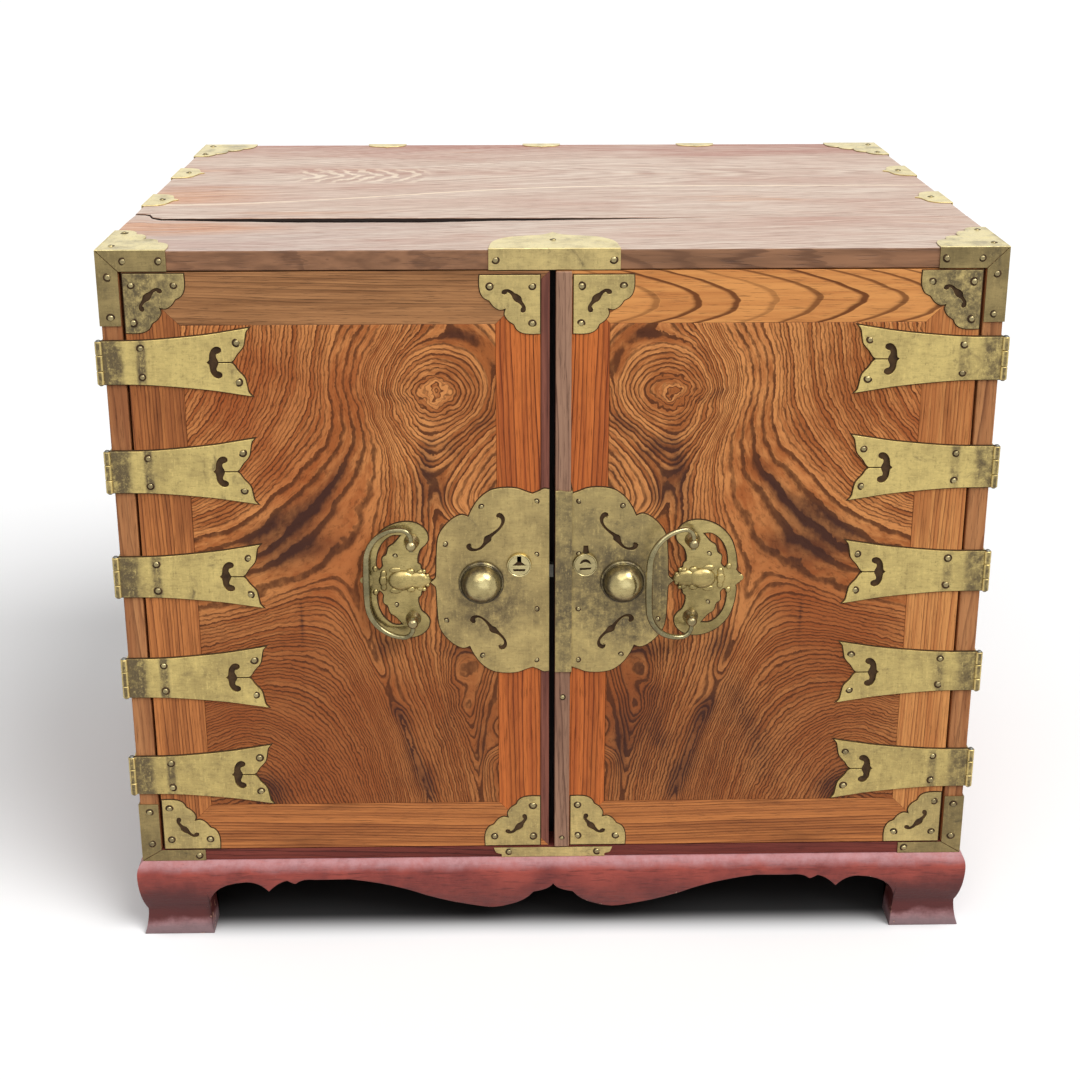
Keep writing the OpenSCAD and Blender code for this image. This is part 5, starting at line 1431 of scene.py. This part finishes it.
# %% Knobs and lock plugs
knob_in = 50.5
quarter = [math.pi / 2 * k / 16 for k in range(1, 16)]
knob_profile = ([(0, 0), (16.6, 0), (17.0, 0.5), (16.9, 1.4), (16.3, 2.2), (15.5, 2.5), (14.9, 2.1),
                 (14.6, 2.4)]
                + [(14.6 * math.cos(a) ** 0.85, 2.4 + 12.6 * math.sin(a)) for a in quarter] + [(0, 15)])
PLUG_HOLES = {
    "left": [[(-4.9, 0.2), (4.9, 0.2), (1.3, 3.2), (1.3, 7.2), (-1.3, 7.2), (-1.3, 3.2)],
             [(-4.6, -2.7), (4.6, -2.7), (4.1, -4.4), (-4.1, -4.4)]],
    "right": [smooth([(-4.3, 1.0), (-2.6, 3.8), (0, 4.8), (2.6, 3.8), (4.3, 1.0)], 3)
              + smooth([(3.6, 1.2), (0, 2.6), (-3.6, 1.2)], 3),
              [(-4.4, -1.9), (4.2, -2.3), (4.0, -3.9), (-3.8, -3.3)]]}
# Each shaft, crank or cam of a lock: radius, length, steps, how far off the middle, and how far behind
# the door's face
LOCK_RODS = {"left": [(5, 5.8, 32, 0, 4.3), (9.9, 2.4, 48, 0, 6.7), (1.5, 5.9, 20, -5.66, 12.7)],
             "right": [(5, 27.1, 32, 0, 25.3), (6.5, 5.0, 32, 0, 25.3), (5.5, 2.5, 32, 0, 27.8)]}


def plug_face(side):
    ring = lathe([(0, 0), (9.0, 0), (9.3, 0.5), (9.2, 1.4), (8.8, 2.3), (8.3, 2.5), (8.0, 2.2), (7.9, 0.7),
                  (0, 0.7)], 48)
    return ring + sheet(circle(7.9, 48), PLUG_HOLES[side], 1.0, 0.3).moved(moved_to(0, 0, 1.2))


for side in SIDES:
    knob = on_front(lathe(knob_profile, 64), -EDGE_IN[side] - knob_in, door_y - 1.2, lock_z)
    brass_piece(side, "knob", knob, knob_brass, sharp=40)
    at_plug = moved_to(-EDGE_IN[side] - plug_in, 0, plug_z)
    # Painted shade: a dark disc behind each plug's face, seen through its key slot.
    inside = on_side(on_front(rod(7.8, 0, 0.3), 0, door_y - 2.25, 0).moved(at_plug), side)
    piece(f"{side}_lock_plug_keyhole_shade", inside, f"{side}_lock", "dark_brass", grime_and_shade, f"{side}_lock_plug")
    plug = on_front(plug_face(side), 0, door_y - 1.5, 0)
    for radius, long, steps, off, behind in LOCK_RODS[side]:
        plug += on_front(rod(radius, 0, long, steps), off, door_y + behind, off)
    if side == "right":
        plug += board((-4, door_y + 25.3, -20), (4, door_y + 27.8, 0), edge=0.3)
    brass_piece(side, "lock_plug", plug.moved(at_plug), plug_brass, part="lock")

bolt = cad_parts["left_lock_bolt"]
bolt.data.materials.clear()
bolt.data.materials.append(iron)
brass_piece("left", "lock_cover", boards_of("left_lock_cover", edge=0.3), corner_brass)

# %% [markdown]
# ## Handles
# A handle plate is a band bent like a C round a body with a raised boss, with a scalloped point
# towards the lock. Two posts with eyes hold the bail, which is thickest in the middle where it is held.

# %% Handle plates
bail_z, bail_in, pivot_out = 302.0, 101.5, 9.5
plate_half = (smooth([(13.2, 0), (11.2, 1.4), (10.4, 4.2), (8.2, 5.2), (7.6, 8.2), (5.2, 9.6), (4.6, 12.8),
                      (2.4, 14.8)])
              + smooth([(2.4, 14.8), (2.6, 20), (4.6, 26), (8.6, 30)])[1:]
              + smooth([(8.6, 30), (10.8, 34), (10.4, 39.4), (7.4, 44.4), (1.6, 48.2), (-6, 49.4), (-15, 47.6),
                        (-24, 42.4), (-31.4, 33.4), (-35.4, 22), (-36.8, 11), (-36.2, 6)])[1:]
              + smooth([(-36.2, 6), (-37.8, 4.6), (-39.8, 3.2), (-40.6, 0)])[1:])
window = (smooth([(-9.6, 38.4), (-17, 38.2), (-24, 32.6), (-28.4, 24), (-29.8, 13), (-27.6, 8.6)])
          + smooth([(-27.6, 8.6), (-25.6, 10.2), (-24.2, 12.4)])[1:]
          + smooth([(-24.2, 12.4), (-24.6, 19), (-21.4, 22), (-19.6, 28), (-15.2, 31.4), (-9.6, 38.4)])[1:-1])
plate_half, window = [[(x * 0.955 + 1.6, y * 0.94) for x, y in line] for line in (plate_half, window)]
plate_outline, windows = both_ways(plate_half), [window, scaled(window, 1, -1)]
# Raised lumps on the middle line and in pairs beside it: half sizes, then the place in x, y and z
MIDDLE_LUMPS = [(10.8, 8.4, 4.8, -7.6, 0, 0.5), (8.4, 6.8, 3.4, 3.6, 0, 0.6), (4.2, 4.4, 2.6, 9.6, 0, 0.6)]
PAIRED_LUMPS = [[(3.6, 2.8, 2.4, -1.4, 6.9, 0.7), (2.6, 2.2, 2.0, 5.6, 6.4, 0.7),
                 (4.8, 2.6, 1.8, -12.6, 8.2, 0.7)],
                [(1.7, 1.7, 1.7, 11.2, 3.6, 0.9), (1.7, 1.7, 1.7, 8.6, 7.2, 0.9)],
                [(2.6, 3.4, 2.2, -21.4, 5.2, 0.7), (2.2, 2.6, 1.9, -27.6, 9.4, 0.8)]]
OUTER_LUMPS = [(3.4, 5.0, 2.8, -21.8, 0, 0.7), (3.6, 6.2, 1.0, -32.2, 0, 0.6), (2.4, 2.6, 1.0, -36.6, 0, 0.6)]


def handle_plate(side):
    relief = [lump(*sizes) for sizes in MIDDLE_LUMPS]
    relief += [lump(rx, ry, rz, x, s * y, z) for group in PAIRED_LUMPS for s in (-1, 1)
               for rx, ry, rz, x, y, z in group]
    relief += [lump(*sizes) for sizes in OUTER_LUMPS]
    whole = joined([sheet(plate_outline, windows, 1.2, 0.4), *relief])
    return on_front(whole, -EDGE_IN[side] - bail_in, door_y, bail_z)


def posts(side):
    stem = [(0, 0), (6.0, 0), (5.6, 1.2), (4.2, 3.0), (3.2, 5.0)]
    angles = [math.radians(d) for d in range(-44, 90, 12)]
    ball = [(4.2 * math.cos(a), 8.5 + 4.2 * math.sin(a)) for a in angles]
    post = on_front(lathe(stem + ball + [(0, 12.7)], 28), -EDGE_IN[side] - bail_in, door_y - 1.0, bail_z)
    return joined(post.moved(moved_to(0, 0, s * 31)) for s in (-1, 1))

# %% [markdown]
# The bail is drawn flat, reaching outwards from its pivots, and then turned about them: the left one
# lies on its plate, and the right one stands 16 degrees off the door towards the middle.

# %% Bails
def bail():
    corner, sweep, start = 7.5, 26.5, 35.5
    half = [((0, 0, 26.4), 1.7, 1.7), ((0, 0, 31), 1.7, 1.7), ((0, 0, start), 1.75, 1.75)]
    for a in [math.pi / 2 * k / 8 for k in range(1, 9)]:
        half.append(((-corner + corner * math.cos(a), 0, start + corner * math.sin(a)), 1.8, 1.8))
    for k in range(1, 13):
        a, swollen = math.pi / 2 * k / 12, k / 12
        half.append(((-corner - sweep * math.sin(a), 0, start + corner - sweep + sweep * math.cos(a)),
                     1.8 + 0.8 * swollen, 1.8 + 0.9 * swollen))
    half += [((-corner - sweep - 0.3, 0, 9), 2.7, 2.8), ((-corner - sweep - 0.4, 0, 0), 2.7, 2.9)]
    return bar(half + [((x, y, -z), a, b) for (x, y, z), a, b in half[-2::-1]])


for side, angle in (("left", -8.12), ("right", 180 - 16)):
    brass_piece(side, "bail_plate", handle_plate(side), cast_brass, sharp=24)
    brass_piece(side, "bail_posts", posts(side), nail_brass, sharp=40)
    pivot = moved_to(-EDGE_IN[side] - bail_in, door_y - pivot_out, bail_z)
    brass_piece(side, "bail", bail().moved(pivot @ turned(angle, "Z")), bail_brass, part="bail", sharp=40)

# %% [markdown]
# ## Brass on the case
# Each top corner is wrapped: two mitred arms on the front, a cloud-shaped leaf on the top and another
# on the side. The bottom corners have no leaf on top. Half ovals are folded over the top's edges.

# %% Case mounts
arm_w, arm_h, arm_d, foot_h, mount_t = 48.5, 54.0, 66.0, 50.0, 1.0
cloud_half = ([(0, 0)] + smooth([(1, 0), (1, 0.14), (0.965, 0.27), (0.88, 0.345), (0.8, 0.36)])
              + smooth([(0.8, 0.36), (0.77, 0.47), (0.69, 0.535), (0.6, 0.55), (0.53, 0.53)])[1:])
cloud = cloud_half + [(y, x) for x, y in cloud_half[::-1]][1:-1]


def oval(w, d):
    return both_ways(smooth([(w / 2, 0), (w * 0.47, d * 0.42), (w * 0.36, d * 0.68), (w * 0.2, d * 0.78)])
                     + smooth([(w * 0.2, d * 0.78), (w * 0.08, d * 0.84), (0, d)])[1:], (-1, 1))


def front_arms(corner_z, d, arm_tall, thick, wide):
    """Two arms that meet on a mitre, the corner at the outside. They run up for d = 1, down for d = -1."""
    x, z, m = -half_w - mount_t, corner_z, 0.2
    flat = [(x + m * 1.4, z), (x + arm_w + 1, z), (x + arm_w + 1, z + d * thick), (x + wide + m, z + d * thick)]
    tall = [(x, z + d * m * 1.4), (x + wide - m, z + d * (thick + m)), (x + wide - m, z + d * arm_tall),
            (x, z + d * arm_tall)]
    return front_sheet(flat) + front_sheet(tall)


def front_to_back(shape):
    """The rear corners are the front ones, mirrored and turned round the case's middle."""
    return shape.mirrored().moved(moved_to(0, FRONT_Y + back_y, 0) @ turned(180, "Z"))


def four(shape):
    return joined(on_side(part, side) for side in SIDES for part in (shape, front_to_back(shape)))


def folded(w, over, down=14.5):
    """An oval on the top, with an apron folded down over its edge."""
    return sheet(oval(w, over)) + front_sheet([(-w / 2, -down), (w / 2, -down), (w / 2, 1), (-w / 2, 1)], y=0)


top_corner = (front_arms(top_z + mount_t, -1, arm_h + 1, 15.5, 15.5)
              + sheet(scaled(cloud, arm_w, arm_d)).moved(moved_to(-half_w, FRONT_Y, top_z))
              + on_left_side(sheet(scaled(cloud, arm_d, -arm_h)), -half_w, FRONT_Y, top_z)
              + board((-half_w - 1, FRONT_Y - 1, top_z), (-half_w, FRONT_Y + arm_d, top_z + 1), edge=0.3))
bottom_corner = (front_arms(case_z, 1, foot_h, 9.5, 15.5)
                 + on_left_side(sheet(scaled(cloud, arm_d, foot_h)), -half_w, FRONT_Y, case_z))
piece("top_corner_mounts", four(top_corner), "case", "brass", mount_brass)
piece("bottom_corner_mounts", four(bottom_corner), "case", "brass", mount_brass)

REAR_MOUNTS, SIDE_MOUNTS = (-147.2, 0, 147.2), (0.4, 0.667)
edge_parts = [folded(93, 54).moved(moved_to(0, FRONT_Y, top_z))]
edge_parts += [folded(36, 18).moved(moved_to(x, back_y, top_z) @ turned(180, "Z")) for x in REAR_MOUNTS]
for share in SIDE_MOUNTS:
    at_side = folded(48, 24).moved(moved_to(-half_w, FRONT_Y + share * case_d, top_z) @ turned(-90, "Z"))
    edge_parts += [at_side, at_side.mirrored()]
low_plate = [(-46.5, 8.5), (-44.5, 4), (-40.5, 2.6), (-40.5, 0.2)]
low_plate = smooth(low_plate, 3) + smooth(scaled(low_plate[::-1], -1, 1), 3)
edge_parts.append(front_sheet(low_plate, z=case_z))
piece("edge_mounts", joined(edge_parts), "case", "brass", edge_brass)

# %% [markdown]
# Wax and dirt gather in the corner where brass meets wood, and shade falls there too, so every mount
# has a dark outline and its piercings look dark. A paper-thin sheet under each, a little larger and
# without holes, paints that dirt and shade.

# %% Dirt and painted shade under the brass
strap_whole = both_ways(strap_side[:-3] + [(93.6, 0)])
blunt_mount = [p for p in mount_outline if math.dist(p, mount_half[-1]) > 1.5]
for side in SIDES:
    e = EDGE_IN[side]
    rim = dict(thick=0.16, edge=0.05, grow=0.75)
    clipped = [(min(x, -0.9), y) for x, y in (lock_outline if side == "left" else right_outline)]
    # Each sheet is dirt and painted shade: a dark outline round the brass, and dark piercings.
    dirt_and_shade = [front_sheet(strap_whole, -hinge_x, door_y, z, **rim) for z in strap_zs]
    dirt_and_shade.append(front_sheet(clipped, -e, door_y, lock_z, [shaft_hole], **rim))
    dirt_and_shade.append(front_sheet(plate_outline, -e - bail_in, door_y, bail_z, windows, **rim))
    dirt_and_shade.append(corner_mounts(side, blunt_mount, thick=0.16, edge=0.05, grow=0.7))
    piece(f"{side}_door_dirt_and_shade", on_side(joined(dirt_and_shade), side), f"{side}_door", "dark_brass", grime_and_shade)

# %% [markdown]
# The nails of each body, a few millimetres in from the edges that they hold down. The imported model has
# those of the doors, the front, the top and the side leaves. The side faces of the mounts, and their
# rear faces, are nailed only here.

# %% Drive the nails
for seed, side in enumerate(SIDES):
    e, s, right_door = EDGE_IN[side], SIDES[side], side == "right"
    spots = [(-hinge_x + u, door_y - 1.5, z + k * v)
             for z in strap_zs for u, v in ((29.6, 10.6), (97.6, 14.6)) for k in (-1, 1)]
    spots += [(x + fx * u, door_y - 1.0, z + fz * v) for x, z, fx, fz in at_door_corners(side)
              for u, v in ((5.8, 35.6), (5.9, 8.3), (35.8, 8.4))]
    big = len(spots)
    spots += [(-e - u - (8 if right_door and u < 20 else 0), door_y - 1.2, lock_z + k * v)
              for u, v in ((9.4, 64), (49.7, 60), (77, 31), (9.4, 22)) for k in (-1, 1)]
    spots += [(-e - 114, door_y - 1.2, bail_z + k * 19.5) for k in (-1, 1)]
    places = [((-s * x, y, z), FORWARD, 1 if i < big else 0.72) for i, (x, y, z) in enumerate(spots)]
    if right_door:
        places += [((e + 5.65, door_y - 3, z), FORWARD, 0.8) for z in (door_z0 + 8, lock_z - 94.5)]
    drive_nails(f"{side}_door", places, 3 + seed, 3.2)

arm_z = 544.75
front_nails = [(276.5, arm_z), (301.5, arm_z), (312.75, 533.5), (312.75, 504), (312.75, 108), (312.75, 80.5),
               (276.5, 69.75)]
side_nails = [(10, arm_z), (53, 544), (8, 509), (10, 71), (53, 72), (8, 103)]
case_places = []
for s in (-1, 1):
    out, side_x = (s, 0, 0), s * (half_w + 1)
    spots = [((s * x, FRONT_Y - 1, z), FORWARD) for x, z in front_nails]
    spots += [((s * 312, FRONT_Y + d, top_z + 1), UPWARD) for d in (12, 56, 404, 448)]
    spots += [((s * 309.2, FRONT_Y + share * case_d, top_z + 1), UPWARD) for share in SIDE_MOUNTS]
    spots += [((s * 321.5, FRONT_Y + 20, z + k * 9.5), out) for z in strap_zs for k in (-1, 1)]
    spots += [((s * x, FRONT_Y - 1, z), FORWARD) for x, z in ((41.5, arm_z), (34.5, 69.75))]
    spots += [((s * x, back_y + 1, z), BACKWARD) for x, z in front_nails]
    spots += [((side_x, y + way * u, z), out) for y, way in ((FRONT_Y, 1), (back_y, -1)) for u, z in side_nails]
    spots += [((side_x, FRONT_Y + share * case_d + k, arm_z), out) for share in SIDE_MOUNTS for k in (-16, 16)]
    case_places += [(*spot, 1) for spot in spots]
case_places.append(((0, FRONT_Y + 27, top_z + 1), UPWARD, 1))
case_places += [((x + k, back_y + 1, arm_z), BACKWARD, 1) for x in REAR_MOUNTS for k in (-12, 12)]
drive_nails("case", case_places, 11, 3.1)

# %% [markdown]
# ## Drawers
# Five plain drawers wait behind the doors: an elm front, a pine box and a small turned brass knob.

# %% Drawers
drawer_knob = lathe([(0, 0), (7.6, 0), (7.8, 0.8), (6.8, 1.8), (3.4, 2.6), (2.8, 5.0), (4.6, 6.6), (6.4, 8.0),
                     (6.6, 9.2), (5.2, 10.6), (2.6, 11.0), (0, 11.0)], 32)
for i, name in enumerate(("left_top", "left_mid", "left_low", "right_top", "right_low")):
    body = f"drawer_{name}"
    front = boards_of(f"{body}_front", "x", (300 * i, -280 - 90 * i, 235), 1.2)
    piece(f"{body}_front", front, body, "elm", drawer_elm)
    box = boards_of(f"{body}_box", "y", (200 * i, 30, 90), 0.4)
    piece(f"{body}_box", box, body, "inner_pine", inner_pine)
    low, high = boxes_of(f"{body}_knob")[0]
    at_knob = on_front(drawer_knob, (low.x + high.x) / 2, high.y, (low.z + high.z) / 2)
    piece(f"{body}_knob", at_knob, body, "brass", cast_brass, sharp=40)

# %% [markdown]
# ## Floor and light
# A plain white floor, and soft light from the front right and above, like a big window. The sky and
# the floor look white to the camera, in the metal and through glass. They light the chest at a plain
# level, and from above only, as a studio's ceiling does. Right under the chest a black shadow is
# painted into the floor's colour, for a low lamp would shine in through the arches, which the big
# soft window of the photograph did not.

# %% Floor and light
def seen_directly(f):
    """1 for what the camera sees, itself or in metal or glass, and 0 for the light on the chest."""
    camera, glossy, glass = [f.node("ShaderNodeLightPath", {}, {}, out=f"Is {kind} Ray")
                             for kind in ("Camera", "Glossy", "Transmission")]
    return camera.most(glossy).most(glass)


def grey(level):
    return (level, level, level, 1)


floor_mesh = bpy.data.meshes.new("floor")
floor_mesh.from_pydata([(-30, -30, 0), (30, -30, 0), (30, 30, 0), (-30, 30, 0)], [], [(0, 1, 2, 3)])
f = Finish("floor")
x, y, z = f.place().axes()
# Painted shadow: the floor right under the chest is coloured nearly black.
painted_shadow_under_chest = (1 - x.size().ease(300, 324)) * (1 - (y - 8.5).size().ease(208, 243))
pale = seen_directly(f).blend(grey(0.5), grey(0.96))
surface = f.node("ShaderNodeBsdfDiffuse", {}, {"Color": painted_shadow_under_chest.blend(pale, grey(0.04))})
f.node("ShaderNodeOutputMaterial", {}, {"Surface": surface})
floor_mesh.materials.append(f.material)
linked("floor", floor_mesh)

world = bpy.data.worlds.new("studio")
bpy.context.scene.world = world
sky = Finish("studio", world)
high_up = sky.node("ShaderNodeTexCoord", {}, {}, out="Generated").axes()[2]
seen = seen_directly(sky)
light = (1 - seen) * high_up.ease(0.2, 0.6) * 0.37 + seen
ceiling = sky.node("ShaderNodeBackground", {}, {"Color": grey(1), "Strength": light})
sky.node("ShaderNodeOutputWorld", {}, {"Surface": ceiling})

for name, power, soft, way in (("window", 2.28, 34, (0.5, -0.44, 0.746)),
                               ("second_window", 1.13, 50, (-0.12, -0.68, 0.72))):
    sun = bpy.data.lights.new(name, "SUN")
    sun.energy, sun.angle = power, math.radians(soft)
    linked(name, sun).matrix_world = Vector(way).to_track_quat("Z", "Y").to_matrix().to_4x4()
bpy.context.scene.view_settings.view_transform = "Standard"
